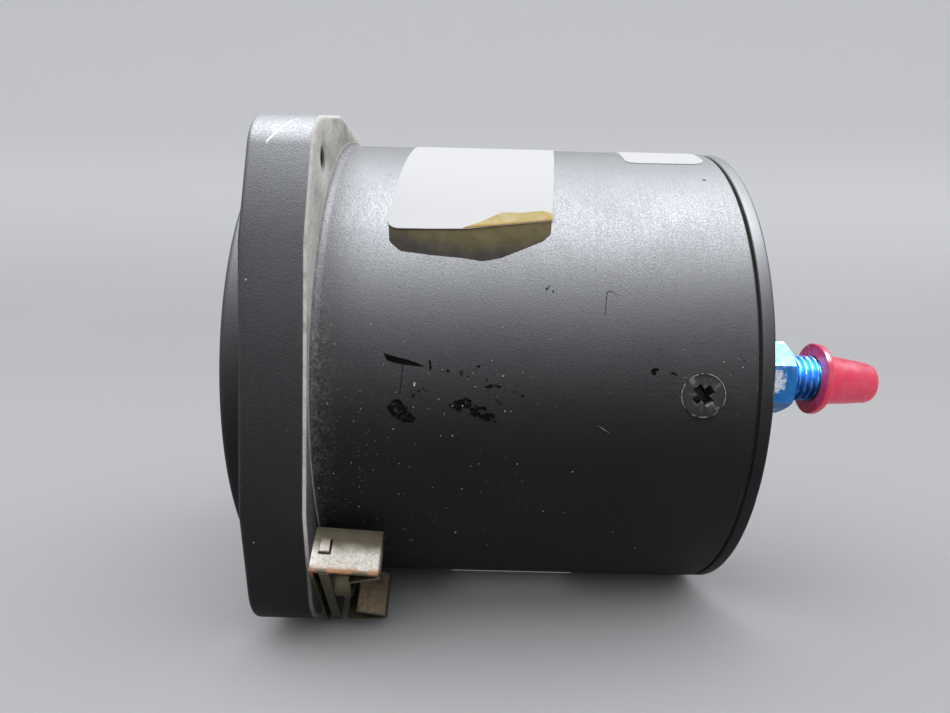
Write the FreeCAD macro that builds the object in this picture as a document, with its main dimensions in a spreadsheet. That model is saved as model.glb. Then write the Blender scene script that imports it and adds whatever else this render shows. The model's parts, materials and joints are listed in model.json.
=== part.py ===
import FreeCAD
import Part

import math
import os

import Sketcher

# A 3-1/8 inch manifold pressure gauge, of the rear-mounted kind with a square flange.
# Millimetres and degrees. +Y runs from the dial to the rear cover, +Z is up, +X is to the right
# for someone who reads the dial. The origin is on the instrument's axis, in the flange's front
# face, which lies against the back of the instrument panel.

SIZES = [
    # The case: one casting of flange, front boss and barrel
    ("barrel_radius", 39.65, "outside of the barrel"),
    ("barrel_length", 62.0, "flange's back face to the barrel's rear end"),
    ("barrel_wall", 2.2, "wall of the barrel"),
    ("flange_past_barrel", 1.625, "sides of the 3.25 in square flange past the barrel"),
    ("flange_thickness", 9.4, "front face to back face"),
    ("flange_edge_chamfer", 0.5, "broken edge round the flange"),
    ("bolt_past_barrel", 4.80227, "circle of the 2.475 in square hole pattern past the barrel"),
    ("bolt_hole_radius", 1.95, "clearance hole for a number 6 screw"),
    ("ear_past_bolt", 5.0175, "X and Z of an ear's point, where its sloping sides meet, past its hole"),
    ("ear_round", 8.0, "radius of the four ears"),
    ("ear_slope", 17.65, "length along X or Z of a sloping side, to the ear's point"),
    ("boss_step", 0.55, "front boss, which fills the panel's cut-out, inside the barrel's outline"),
    ("boss_height", 3.5, "how far the boss stands in front of the flange"),
    ("boss_round", 1.5, "rounded front edge of the boss"),
    ("boss_wall", 2.0, "wall of the boss round the counterbore that the glass drops into"),
    ("crease_size", 0.6, "slope left in the crease between flange and barrel"),
    ("ledge_depth", 3.6, "glass ledge, behind the flange's front face"),
    ("ledge_thickness", 2.0, "thickness of the glass ledge"),
    ("ledge_width", 2.5, "width of the glass ledge"),
    ("groove_depth", 0.8, "depth of the retaining ring's groove"),
    ("lug_count", 3, "lugs that carry the mechanism"),
    ("lug_depth", 6.25, "how far a lug reaches in from the bore"),
    ("lug_half_width", 4.0, "half width of a lug"),
    ("lug_length", 5.0, "length of a lug along the axis"),
    ("lug_screw_inset", 3.25, "mechanism screws' circle inside the bore"),
    # The window
    ("glass_thickness", 3.2, "cover glass"),
    ("glass_clearance", 0.15, "glass and gasket to counterbore"),
    ("gasket_thickness", 1.0, "rubber under the glass"),
    ("ring_thickness", 1.4, "glass retaining ring"),
    ("ring_width", 3.7, "retaining ring inside the counterbore"),
    ("ring_clearance", 0.1, "retaining ring to its groove, all round"),
    ("ring_gap_angle", 12.0, "gap where the ring is sprung together"),
    # The dial and its pointer
    ("dial_face", 8.2, "dial's front, behind the flange's front face"),
    ("dial_inset", 3.25, "edge of the dial plate inside the bore"),
    ("dial_thickness", 0.8, "dial plate"),
    ("dial_bore", 2.6, "hole for the pointer staff"),
    ("dial_screw_circle", 14.0, "radius of the dial screws' circle"),
    ("dial_post_radius", 2.0, "posts that carry the dial"),
    ("dial_post_stud", 1.2, "end of a dial post that is riveted in the front plate"),
    ("dial_screw_radius", 0.8, "dial screw thread"),
    ("dial_screw_length", 4.0, "dial screw under its head"),
    ("dial_screw_head_radius", 1.7, "dial screw head"),
    ("dial_screw_head_height", 0.9, "dial screw head"),
    ("pointer_plane", 6.1, "pointer's back face, behind the flange's front face"),
    ("pointer_thickness", 0.5, "pointer blade"),
    ("pointer_inset", 5.7, "pointer's tip inside the edge of the dial"),
    ("pointer_tail", 16.0, "axis to the end of the tail"),
    ("pointer_weight_length", 6.6, "wide end of the tail, which balances the blade"),
    ("pointer_weight_half_width", 4.1, "wide end of the tail"),
    ("pointer_half_width", 1.7, "half width of the blade at the hub"),
    ("pointer_neck_half_width", 1.1, "half width where the tip starts"),
    ("pointer_tip_length", 4.5, "length of the tapered tip"),
    ("pointer_hub_radius", 3.0, "flange of the pointer's hub"),
    ("pointer_hub_height", 1.0, "flange of the pointer's hub"),
    ("pointer_seat_radius", 1.4, "neck that the blade is riveted to"),
    ("pointer_rivet_height", 0.3, "neck in front of the blade"),
    # The mechanism's frame
    ("front_plate_inset", 0.85, "front plate, which sits on the lugs, inside the bore"),
    ("front_plate_thickness", 2.0, "front plate"),
    ("train_space", 9.5, "front plate to middle plate"),
    ("plate_inset", 6.45, "middle and rear plates inside the bore"),
    ("middle_plate_thickness", 1.5, "middle plate"),
    ("capsule_space", 27.5, "middle plate to rear plate"),
    ("rear_plate_thickness", 2.0, "rear plate"),
    ("pillar_count", 3, "pillars between each pair of plates"),
    ("pillar_inset", 4.0, "pillars' circle inside the edge of the middle plate"),
    ("pillar_first_angle", 60.0, "direction of the first pillar"),
    ("pillar_radius", 2.6, "frame pillar"),
    ("pillar_stud_radius", 1.25, "thread of the pillars and their screws"),
    ("pillar_stud_length", 5.5, "thread in the next pillar"),
    ("frame_screw_head_radius", 2.2, "frame screw head"),
    ("frame_screw_head_height", 1.3, "frame screw head"),
    ("fastener_clearance", 0.08, "any screw or stud to the wall of its hole"),
    ("window_count", 3, "lightening windows in the rear plate"),
    ("window_radius", 5.0, "lightening window"),
    ("window_circle", 18.5, "radius of the windows' circle"),
    # The pinion, the sector and their shafts
    ("gear_module", 0.3, "module of the pinion and the sector"),
    ("pinion_teeth", 12, "teeth of the pinion"),
    ("sector_full_teeth", 108, "teeth that a full wheel of the sector's size would have"),
    ("sector_cut_teeth", 16, "teeth that are cut on the sector"),
    ("tooth_shift", 0.35, "profile shift of the pinion, in modules"),
    ("tooth_backlash", 0.035, "taken off the thickness of each tooth"),
    ("pinion_length", 2.8, "face width of the pinion"),
    ("pinion_start", 1.7, "front plate to pinion"),
    ("staff_radius", 1.0, "pinion staff"),
    ("staff_nose_radius", 0.7, "front of the staff, inside the pointer's hub"),
    ("staff_pivot_radius", 0.45, "rear pivot of the staff"),
    ("staff_nose_reach", 0.6, "staff in front of the pointer's blade"),
    ("shaft_clearance", 0.03, "radial running clearance of every shaft"),
    ("seat_clearance", 0.02, "a hub on the shaft that it is fixed to"),
    ("bearing_radius", 2.15, "front staff bearing, outside"),
    ("small_bearing_radius", 1.55, "the other bearings, outside"),
    ("bearing_flange", 0.4, "front staff bearing in front of its plate"),
    ("sector_height", 5.0, "sector shaft below the instrument's axis"),
    ("sector_gap", 2.5, "front plate to sector"),
    ("sector_thickness", 1.2, "sector plate"),
    ("sector_hub_radius", 3.2, "sector round its shaft"),
    ("sector_hub_length", 2.3, "hub between sector and follower arm"),
    ("sector_shaft_radius", 1.1, "sector shaft"),
    ("sector_pivot_radius", 0.55, "pivots of the sector shaft"),
    ("shaft_end_gap", 0.3, "shoulder of a shaft to the plate beside it"),
    ("sector_window_inner", 6.0, "window in the sector, inner radius"),
    ("sector_window_outer", 13.0, "window in the sector, outer radius"),
    ("sector_window_half_angle", 15.0, "window in the sector"),
    ("follower_reach", 6.4, "sector shaft to the driving pin"),
    ("follower_thickness", 1.0, "follower arm"),
    ("follower_half_width", 1.8, "follower arm"),
    ("follower_slot_half", 0.68, "half width of the follower's slot"),
    ("follower_slot_travel", 0.7, "room for the driving pin along the slot, each way"),
    # The hairspring
    ("collet_radius", 1.7, "hairspring collet"),
    ("collet_length", 1.4, "hairspring collet"),
    ("spring_turns", 4.0, "hairspring"),
    ("spring_runs", 14, "straight runs in one turn of the hairspring"),
    ("spring_outer_radius", 6.5, "hairspring"),
    ("spring_strip", 0.12, "hairspring strip, thickness"),
    ("spring_height", 0.5, "hairspring strip, width"),
    ("spring_stud_radius", 0.6, "post that holds the hairspring's outer end"),
    # The rocking shaft and its arms
    ("rocker_back", 4.5, "middle plate's rear face to the rocking shaft's axis"),
    ("rocker_radius", 0.9, "rocking shaft"),
    ("rocker_pivot_radius", 0.45, "rocking shaft's pivots"),
    ("rocker_pivot_length", 1.3, "rocking shaft's pivots"),
    ("rocker_left", 14.6, "axis to the shaft's left shoulder"),
    ("rocker_right", 6.6, "axis to the shaft's right shoulder"),
    ("rocker_end_play", 0.15, "shoulder to pivot screw"),
    ("collar_radius", 1.8, "collars of the arms on the rocking shaft"),
    ("drive_pin_radius", 0.45, "pin that drives the follower arm"),
    ("drive_pin_past", 0.9, "driving pin past the middle of the follower arm"),
    ("drive_collar_half", 1.0, "half length of the driving arm's collar"),
    ("lift_arm_offset", 1.0, "lifting arm beside the axis"),
    ("lift_arm_half", 0.4, "half thickness of the lifting arm"),
    ("lift_eye_radius", 1.4, "eye at the end of the lifting arm"),
    ("link_pin_radius", 0.5, "pins of the link"),
    ("link_slack", 0.15, "front pin in the link's eye, for the arc that the arm makes"),
    ("link_half_thickness", 0.4, "link strip"),
    ("link_half_width", 1.2, "link strip"),
    ("link_length", 4.5, "front pin to rear pin"),
    ("balance_offset", 4.2, "balance weight's arm, to the right of the axis"),
    ("balance_drop", 7.5, "rocking shaft to the middle of the balance weight"),
    ("balance_rod_radius", 0.5, "balance weight's rod"),
    ("balance_radius", 2.2, "balance weight"),
    ("balance_length", 2.4, "balance weight"),
    ("bracket_thickness", 3.0, "brackets of the rocking shaft"),
    ("bracket_half_height", 3.2, "brackets of the rocking shaft"),
    ("bracket_past", 2.6, "bracket past the rocking shaft's axis"),
    ("bracket_foot", 5.0, "foot of a bracket"),
    ("bracket_foot_thickness", 1.5, "foot of a bracket"),
    ("pivot_screw_radius", 1.25, "pivot screws"),
    ("pivot_screw_past", 1.0, "pivot screw outside its bracket"),
    ("bracket_gap", 1.2, "shaft's shoulder to bracket"),
    ("foot_screw_radius", 0.8, "screws through the brackets' feet"),
    ("foot_screw_head_radius", 1.5, "screws through the brackets' feet"),
    ("foot_screw_head_height", 0.9, "screws through the brackets' feet"),
    # The evacuated capsules
    ("capsule_clearance", 2.4, "capsules to pillars"),
    ("capsule_pair", 2, "capsules in the stack"),
    ("capsule_depth", 6.0, "one capsule, along the axis"),
    ("capsule_hub_height", 1.0, "hub between two capsules"),
    ("capsule_hub_radius", 4.5, "hubs of the capsules"),
    ("capsule_bore", 2.0, "passage through the hubs"),
    ("diaphragm_thickness", 0.3, "capsule sheet"),
    ("corrugations", 1, "rings pressed into each diaphragm"),
    ("corrugation_depth", 1.1, "rings pressed into each diaphragm"),
    ("capsule_rim", 1.6, "flat rim where two diaphragms are welded"),
    ("base_disc_radius", 5.0, "capsule's base"),
    ("base_stud_radius", 2.0, "threaded stud of the capsule's base"),
    ("base_stud_past", 3.2, "stud behind the rear plate"),
    ("stud_nut_across_flats", 7.0, "nut on the stud"),
    ("stud_nut_thickness", 2.2, "nut on the stud"),
    ("post_flange_radius", 4.0, "centre post on the front capsule"),
    ("post_flange_thickness", 1.2, "centre post on the front capsule"),
    ("post_radius", 1.9, "centre post"),
    ("post_past_pin", 1.5, "centre post in front of the link's rear pin"),
    ("fork_slot_half", 0.55, "half of the fork's slot"),
    ("fork_slot_depth", 3.2, "fork's slot, along the axis"),
    # The rear cover and its screws
    ("cover_gasket_thickness", 0.5, "gasket between barrel and cover"),
    ("cover_gasket_inset", 0.45, "gasket inside the barrel's outline"),
    ("cover_rim_inset", 0.05, "cover's rim inside the barrel's outline"),
    ("cover_rim_thickness", 1.9, "cover's rim"),
    ("cover_edge_chamfer", 0.35, "cover's rear edge"),
    ("cover_plate_thickness", 2.4, "cover's plate"),
    ("skirt_length", 11.8, "cover's skirt in the barrel"),
    ("skirt_wall", 3.0, "cover's skirt"),
    ("skirt_clearance", 0.05, "cover's skirt to the bore"),
    ("cover_screw_count", 3, "screws through the barrel into the skirt"),
    ("cover_screw_inset", 7.5, "screws to the barrel's rear end"),
    ("cover_turn", 1.25, "first cover screw below the +X side"),
    ("screw_radius", 1.7, "number 6 thread"),
    ("screw_head_radius", 3.08, "countersunk head"),
    ("screw_head_depth", 1.5, "countersunk head"),
    ("screw_length", 6.0, "countersunk screw, overall"),
    ("screw_below", 0.12, "head below the barrel's surface"),
    # The pressure connection
    ("inlet_offset", 14.28, "fitting's axis to the right of the instrument's axis"),
    ("inlet_drop", 0.7, "fitting's axis below the instrument's axis"),
    ("inlet_boss_radius", 8.0, "boss on the cover"),
    ("inlet_boss_height", 3.0, "boss on the cover"),
    ("pipe_thread_radius", 5.0, "1/8 in pipe thread at the boss"),
    ("pipe_taper", 0.03125, "change of radius along the thread"),
    ("pipe_below", 7.0, "pipe thread from the boss's face inward"),
    ("pipe_exposed", 2.3, "pipe thread between boss and hexagon"),
    ("pipe_clearance", 0.03, "pipe thread to its tapped hole"),
    ("hex_across_flats", 11.11, "7/16 in hexagon"),
    ("hex_length", 7.5, "hexagon"),
    ("hex_turn", 84.2, "direction of one corner of the hexagon"),
    ("hex_chamfer", 0.55, "turned chamfer on the corners of the hexagon"),
    ("neck_radius", 3.3, "undercut behind the flare thread"),
    ("neck_length", 0.6, "undercut behind the flare thread"),
    ("flare_thread_radius", 3.97, "5/16-24 thread"),
    ("flare_thread_length", 5.7, "hexagon to the end of the thread"),
    ("flare_nose_length", 3.6, "nose past the thread"),
    ("flare_root_radius", 3.3, "large end of the 37 degree nose"),
    ("flare_tip_radius", 1.7, "small end of the nose"),
    ("inlet_bore_radius", 1.1, "passage through the fitting"),
    ("restrictor_seat_radius", 2.2, "counterbore for the restrictor"),
    ("restrictor_seat_depth", 4.0, "counterbore for the restrictor"),
    ("restrictor_bore_radius", 0.3, "orifice that damps the pointer"),
    # The plastic cap on the fitting
    ("cap_from_hex", 4.7, "hexagon to the cap's flange"),
    ("cap_flange_radius", 6.35, "cap's flange"),
    ("cap_flange_thickness", 1.2, "cap's flange"),
    ("cap_root_radius", 4.45, "cap's body behind the flange"),
    ("cap_tip_radius", 3.42, "cap's body at the closed end"),
    ("cap_length", 10.6, "cap, overall"),
    ("cap_end_round", 0.8, "closed end of the cap"),
    ("cap_wall", 0.75, "wall past the grip"),
    ("cap_grip_depth", 1.8, "mouth that grips the thread"),
    ("cap_clearance", 0.1, "mouth to thread"),
    ("cap_droop", 3.5, "how far the soft cap sags"),
    # The clip nut on the lower right ear
    ("clip_front_half", 8.4, "clip, across its two legs at the flange, halved"),
    ("clip_rear_half", 7.4, "clip, across its two legs at the rear, halved"),
    ("clip_shift", 0.45, "clip off its hole, towards the upper leg"),
    ("clip_hole_radius", 2.5, "clip's hole, in which the nut can float"),
    ("clip_depth", 10.0, "clip behind the flange"),
    ("clip_width", 6.9, "width of the strip"),
    ("clip_sheet", 0.5, "thickness of the strip"),
    ("clip_fold", 1.3, "across the folded rear end of a leg"),
    ("clip_bend", 0.6, "outside radius of the rear folds"),
    ("clip_tongue", 4.8, "tongue folded back inside each leg"),
    ("clip_tongue_lean", 18.0, "tongue's lean towards the nut"),
    ("clip_turn", 49.0, "direction of the upper leg, from +X towards +Z"),
    ("nut_offset", 1.1, "nut plate behind the flange"),
    ("nut_thickness", 1.4, "nut plate"),
    ("nut_half_width", 3.0, "nut plate"),
    ("nut_end_gap", 0.3, "nut plate to the clip's legs"),
    ("nut_thread_radius", 1.76, "number 6 thread, major radius"),
    ("nut_collar_radius", 2.8, "threaded collar"),
    ("nut_collar_length", 2.4, "threaded collar"),
    ("tab_low", -0.6, "upper tab, one side"),
    ("tab_high", 1.4, "upper tab, other side"),
    ("tab_past", 0.5, "tabs outside the legs"),
    ("tab_clearance", 0.2, "tabs in their slots"),
]

TEETH_PRESSURE_ANGLE = math.radians(20)
PIECES = []


class Size:
    """A length or an angle that carries its number and the sheet expression that gives it."""

    def __init__(self, value, text):
        self.value = float(value)
        self.text = text
        self.driven = "sizes." in text

    def __add__(self, other):
        other = as_size(other)
        return Size(self.value + other.value, f"({self.text} + {other.text})")

    def __sub__(self, other):
        other = as_size(other)
        return Size(self.value - other.value, f"({self.text} - {other.text})")

    def __mul__(self, other):
        other = as_size(other)
        return Size(self.value * other.value, f"({self.text} * {other.text})")

    def __truediv__(self, other):
        other = as_size(other)
        return Size(self.value / other.value, f"({self.text} / {other.text})")

    def __neg__(self):
        return Size(-self.value, f"(-1 * {self.text})")

    def __radd__(self, other):
        return as_size(other) + self

    def __rsub__(self, other):
        return as_size(other) - self

    def __rmul__(self, other):
        return as_size(other) * self

    def __rtruediv__(self, other):
        return as_size(other) / self


def as_size(number):
    """A plain number as a Size; a Size comes back as it is."""
    if isinstance(number, Size):
        return number
    return Size(number, f"{float(number):.6f}")


def cosine(angle):
    """Cosine of an angle in degrees."""
    angle = as_size(angle)
    return Size(math.cos(math.radians(angle.value)), f"cos({angle.text})")


def sine(angle):
    """Sine of an angle in degrees."""
    angle = as_size(angle)
    return Size(math.sin(math.radians(angle.value)), f"sin({angle.text})")


def root(number):
    """Square root."""
    return Size(math.sqrt(number.value), f"sqrt({number.text})")


class Sheet:
    """The spreadsheet, with each alias readable as a Size."""

    def __init__(self, document, rows):
        self.cells = document.addObject("Spreadsheet::Sheet", "sizes")
        self.sizes = {}
        for row, (alias, value, meaning) in enumerate(rows, 1):
            self.cells.set(f"A{row}", alias)
            self.cells.set(f"B{row}", str(value))
            self.cells.set(f"C{row}", meaning)
            self.cells.setAlias(f"B{row}", alias)
            self.sizes[alias] = Size(value, f"sizes.{alias}")

    def __getattr__(self, alias):
        return self.sizes[alias]


doc = FreeCAD.newDocument("manifold_pressure_gauge")
s = Sheet(doc, SIZES)
doc.recompute()


# Places along the axis and other sizes that several pieces share

# Across the axis every size of the case, and of what fits in it, follows from the barrel
bore_radius = s.barrel_radius - s.barrel_wall
flange_half_width = s.barrel_radius + s.flange_past_barrel
bolt_half_spacing = (s.barrel_radius + s.bolt_past_barrel) / root(as_size(2))
ear_reach = bolt_half_spacing + s.ear_past_bolt
flange_flat_half = ear_reach - s.ear_slope
boss_radius = s.barrel_radius - s.boss_step
glass_seat_radius = boss_radius - s.boss_wall
ledge_radius = glass_seat_radius - s.ledge_width
ring_inner_radius = glass_seat_radius - s.ring_width
lug_reach = bore_radius - s.lug_depth
lug_screw_circle = bore_radius - s.lug_screw_inset
dial_radius = bore_radius - s.dial_inset
pointer_length = dial_radius - s.pointer_inset
plate_radius = bore_radius - s.front_plate_inset
middle_plate_radius = bore_radius - s.plate_inset
pillar_circle = middle_plate_radius - s.pillar_inset
capsule_radius = pillar_circle - s.pillar_radius - s.capsule_clearance
cover_rim_radius = s.barrel_radius - s.cover_rim_inset

# Along the axis
flange_back = s.flange_thickness
barrel_end = flange_back + s.barrel_length
gasket_front = s.ledge_depth - s.gasket_thickness
glass_front = gasket_front - s.glass_thickness
ring_front = glass_front - s.ring_thickness

dial_back = s.dial_face + s.dial_thickness
lug_front = dial_back + 2.5
plate_front = lug_front + s.lug_length
plate_back = plate_front + s.front_plate_thickness
middle_front = plate_back + s.train_space
middle_back = middle_front + s.middle_plate_thickness
rear_front = middle_back + s.capsule_space
rear_back = rear_front + s.rear_plate_thickness

# The sector's shaft stands one centre distance from the pinion
pinion_pitch_radius = s.gear_module * s.pinion_teeth / 2
sector_pitch_radius = s.gear_module * s.sector_full_teeth / 2
centre_distance = pinion_pitch_radius + sector_pitch_radius
sector_x = -root(centre_distance * centre_distance - s.sector_height * s.sector_height)
sector_z = -s.sector_height
sector_front = plate_back + s.sector_gap
sector_back = sector_front + s.sector_thickness
follower_front = sector_back + s.sector_hub_length
follower_middle = follower_front + s.follower_thickness / 2
follower_back = follower_front + s.follower_thickness
drive_x = sector_x + s.follower_reach

rocker_y = middle_back + s.rocker_back
rocker_z = sector_z
link_rear = rocker_y + s.link_length

capsule_front = (
    rear_front
    - s.post_flange_thickness
    - s.capsule_depth * s.capsule_pair
    - s.capsule_hub_height * (s.capsule_pair - 1)
)
capsule_step = s.capsule_depth + s.capsule_hub_height
post_front = link_rear - s.post_past_pin

gasket_back = barrel_end + s.cover_gasket_thickness
cover_back = gasket_back + s.cover_rim_thickness
cover_inside = cover_back - s.cover_plate_thickness
skirt_radius = bore_radius - s.skirt_clearance
skirt_front = gasket_back - s.skirt_length
cover_screw_y = barrel_end - s.cover_screw_inset

inlet_z = -s.inlet_drop
boss_back = cover_back + s.inlet_boss_height
hex_front = boss_back + s.pipe_exposed
hex_back = hex_front + s.hex_length
pipe_end = boss_back - s.pipe_below
flare_thread_end = hex_back + s.flare_thread_length
cap_front = hex_back + s.cap_from_hex


# Helpers that draw sketches and features


def as_placement(x, y, z, axis, angle):
    base = FreeCAD.Vector(x.value, y.value, z.value)
    return FreeCAD.Placement(base, FreeCAD.Rotation(FreeCAD.Vector(*axis), angle.value))


def place(item, x=0, y=0, z=0, axis=(0, 1, 0), angle=0, prop="Placement"):
    """Sets a placement and binds its driven numbers to the sheet."""
    x, y, z, angle = as_size(x), as_size(y), as_size(z), as_size(angle)
    setattr(item, prop, as_placement(x, y, z, axis, angle))
    for path, size in (("Base.x", x), ("Base.y", y), ("Base.z", z), ("Rotation.Angle", angle)):
        if size.driven:
            item.setExpression(f".{prop}.{path}", size.text)


def drive(item, prop, size):
    """Sets one property and binds it to the sheet."""
    size = as_size(size)
    setattr(item, prop, size.value)
    if size.driven:
        item.setExpression(prop, size.text)


def new_body(label):
    body = doc.addObject("PartDesign::Body", label)
    body.Label = label
    return body


def origin_feature(body, role):
    for feature in body.Origin.OriginFeatures:
        if feature.Role == role:
            return feature
    raise ValueError(role)


def new_sketch(body, plane, name, x=0, y=0, z=0, angle=0):
    """A sketch on one of the body's own planes, moved in that plane's own axes."""
    drawing = body.newObject("Sketcher::SketchObject", name)
    drawing.AttachmentSupport = [(origin_feature(body, plane), "")]
    drawing.MapMode = "FlatFace"
    place(drawing, x, y, z, (0, 1, 0), angle, "AttachmentOffset")
    return drawing


def bind_point(drawing, geometry, point, x, y):
    """Holds a point of the sketch at two sizes from the sketch's origin."""
    for kind, size, axis in (("DistanceX", as_size(x), -2), ("DistanceY", as_size(y), -1)):
        if not size.driven and abs(size.value) < 1e-9:
            drawing.addConstraint(Sketcher.Constraint("PointOnObject", geometry, point, axis))
            continue
        constraint = Sketcher.Constraint(kind, -1, 1, geometry, point, size.value)
        number = drawing.addConstraint(constraint)
        if size.driven:
            drawing.setExpression(f"Constraints[{number}]", size.text)


def draw_outline(drawing, points):
    """A closed outline of straight lines."""
    spots = [FreeCAD.Vector(as_size(x).value, as_size(y).value, 0) for x, y in points]
    first = drawing.GeometryCount
    count = len(points)
    for number in range(count):
        line = Part.LineSegment(spots[number], spots[(number + 1) % count])
        drawing.addGeometry(line, False)
    for number in range(count):
        following = first + (number + 1) % count
        join = Sketcher.Constraint("Coincident", first + number, 2, following, 1)
        drawing.addConstraint(join)
    for number, (x, y) in enumerate(points):
        bind_point(drawing, first + number, 1, x, y)


def draw_circle(drawing, x, y, radius):
    x, y, radius = as_size(x), as_size(y), as_size(radius)
    centre = FreeCAD.Vector(x.value, y.value, 0)
    circle = Part.Circle(centre, FreeCAD.Vector(0, 0, 1), radius.value)
    geometry = drawing.addGeometry(circle, False)
    number = drawing.addConstraint(Sketcher.Constraint("Radius", geometry, radius.value))
    drawing.setExpression(f"Constraints[{number}]", radius.text)
    bind_point(drawing, geometry, 3, x, y)


def revolve(body, drawing, name, axis="V_Axis", cut=False, angle=360):
    kind = "PartDesign::Groove" if cut else "PartDesign::Revolution"
    feature = body.newObject(kind, name)
    feature.Profile = drawing
    feature.ReferenceAxis = (drawing, [axis])
    drive(feature, "Angle", angle)
    return feature


def pad(body, drawing, name, length, both_ways=False):
    """On the XZ plane a pad runs towards +Y."""
    feature = body.newObject("PartDesign::Pad", name)
    feature.Profile = drawing
    feature.Reversed = not both_ways
    feature.Midplane = both_ways
    drive(feature, "Length", length)
    return feature


def pocket(body, drawing, name, length, both_ways=False):
    """On the XZ plane a pocket runs towards +Y."""
    feature = body.newObject("PartDesign::Pocket", name)
    feature.Profile = drawing
    feature.Midplane = both_ways
    drive(feature, "Length", length)
    return feature


def polar(body, originals, name, count):
    """Repeats features round the instrument's axis."""
    feature = body.newObject("PartDesign::PolarPattern", name)
    feature.Originals = originals
    feature.Axis = (origin_feature(body, "Y_Axis"), [""])
    feature.Angle = 360
    feature.Occurrences = int(count.value)
    if count.driven:
        feature.setExpression("Occurrences", count.text)
    body.Tip = feature
    return feature


def dress(body, kind, name, base, edges, size):
    """A fillet or a chamfer on the named edges."""
    feature = body.newObject(f"PartDesign::{kind}", name)
    feature.Base = (base, edges)
    drive(feature, "Radius" if kind == "Fillet" else "Size", size)
    return feature


def edges_where(feature, test):
    """Names of the feature's edges that pass a test; the document is worked out first."""
    doc.recompute()
    edges = feature.Shape.Edges
    names = [f"Edge{number}" for number, edge in enumerate(edges, 1) if test(edge)]
    if not names:
        raise ValueError(f"no edges found on {feature.Name}")
    return names


def is_circle(edge, radius, y):
    """Whether an edge is a circle of that radius at that place along the axis."""
    curve = edge.Curve
    if not isinstance(curve, Part.Circle):
        return False
    same_radius = abs(curve.Radius - radius.value) < 1e-4
    return same_radius and abs(curve.Center.y - y.value) < 1e-4


def keep(item):
    """Marks a finished piece, which is written to its own file."""
    PIECES.append(item)
    return item


def turned(label, points, x=0, y=0, z=0, axis=(0, 1, 0), angle=0):
    """A piece turned about its own Y axis, from a profile of (radius, place) points."""
    body = new_body(label)
    drawing = new_sketch(body, "XY_Plane", f"{label}_profile")
    draw_outline(drawing, points)
    revolve(body, drawing, f"{label}_turned")
    place(body, x, y, z, axis, angle)
    return body


def tube(label, outer, inner, start, end, x=0, z=0):
    """A plain ring or bush along Y."""
    points = [(inner, start), (outer, start), (outer, end), (inner, end)]
    return turned(label, points, x=x, z=z)


def group(label, items):
    """Several separate solids that are one node."""
    compound = doc.addObject("Part::Compound", label)
    compound.Label = label
    compound.Links = items
    return keep(compound)


def rod(name, radius, length, x, y, z, direction):
    """A Part cylinder from a point, along one of the axes."""
    turns = {"+Y": ((1, 0, 0), -90), "-Y": ((1, 0, 0), 90), "+X": ((0, 1, 0), 90)}
    turns["-Z"] = ((1, 0, 0), 180)
    turns["+Z"] = ((1, 0, 0), 0)
    item = doc.addObject("Part::Cylinder", name)
    drive(item, "Radius", radius)
    drive(item, "Height", length)
    axis, angle = turns[direction]
    place(item, x, y, z, axis, angle)
    return item


def joined(name, items):
    fusion = doc.addObject("Part::MultiFuse", name)
    fusion.Shapes = items
    return fusion


def drilled(name, base, tool):
    cut = doc.addObject("Part::Cut", name)
    cut.Base = base
    cut.Tool = tool
    return cut


def around(count, first, radius):
    """Places of a ring of things, as (x, z) pairs, from +X towards +Z."""
    spots = []
    for number in range(int(count.value)):
        angle = first + number * 360 / count
        spots.append((radius * cosine(angle), radius * sine(angle)))
    return spots


def screw(label, head_radius, head_height, radius, length, x, seat, z, towards=1):
    """A pan-head screw along Y, its head on the face at seat, its shank towards +Y or -Y."""
    points = [
        (0, seat - towards * head_height),
        (head_radius, seat - towards * head_height),
        (head_radius, seat),
        (radius, seat),
        (radius, seat + towards * length),
        (0, seat + towards * length),
    ]
    return turned(label, points, x=x, z=z)


# The case


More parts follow.
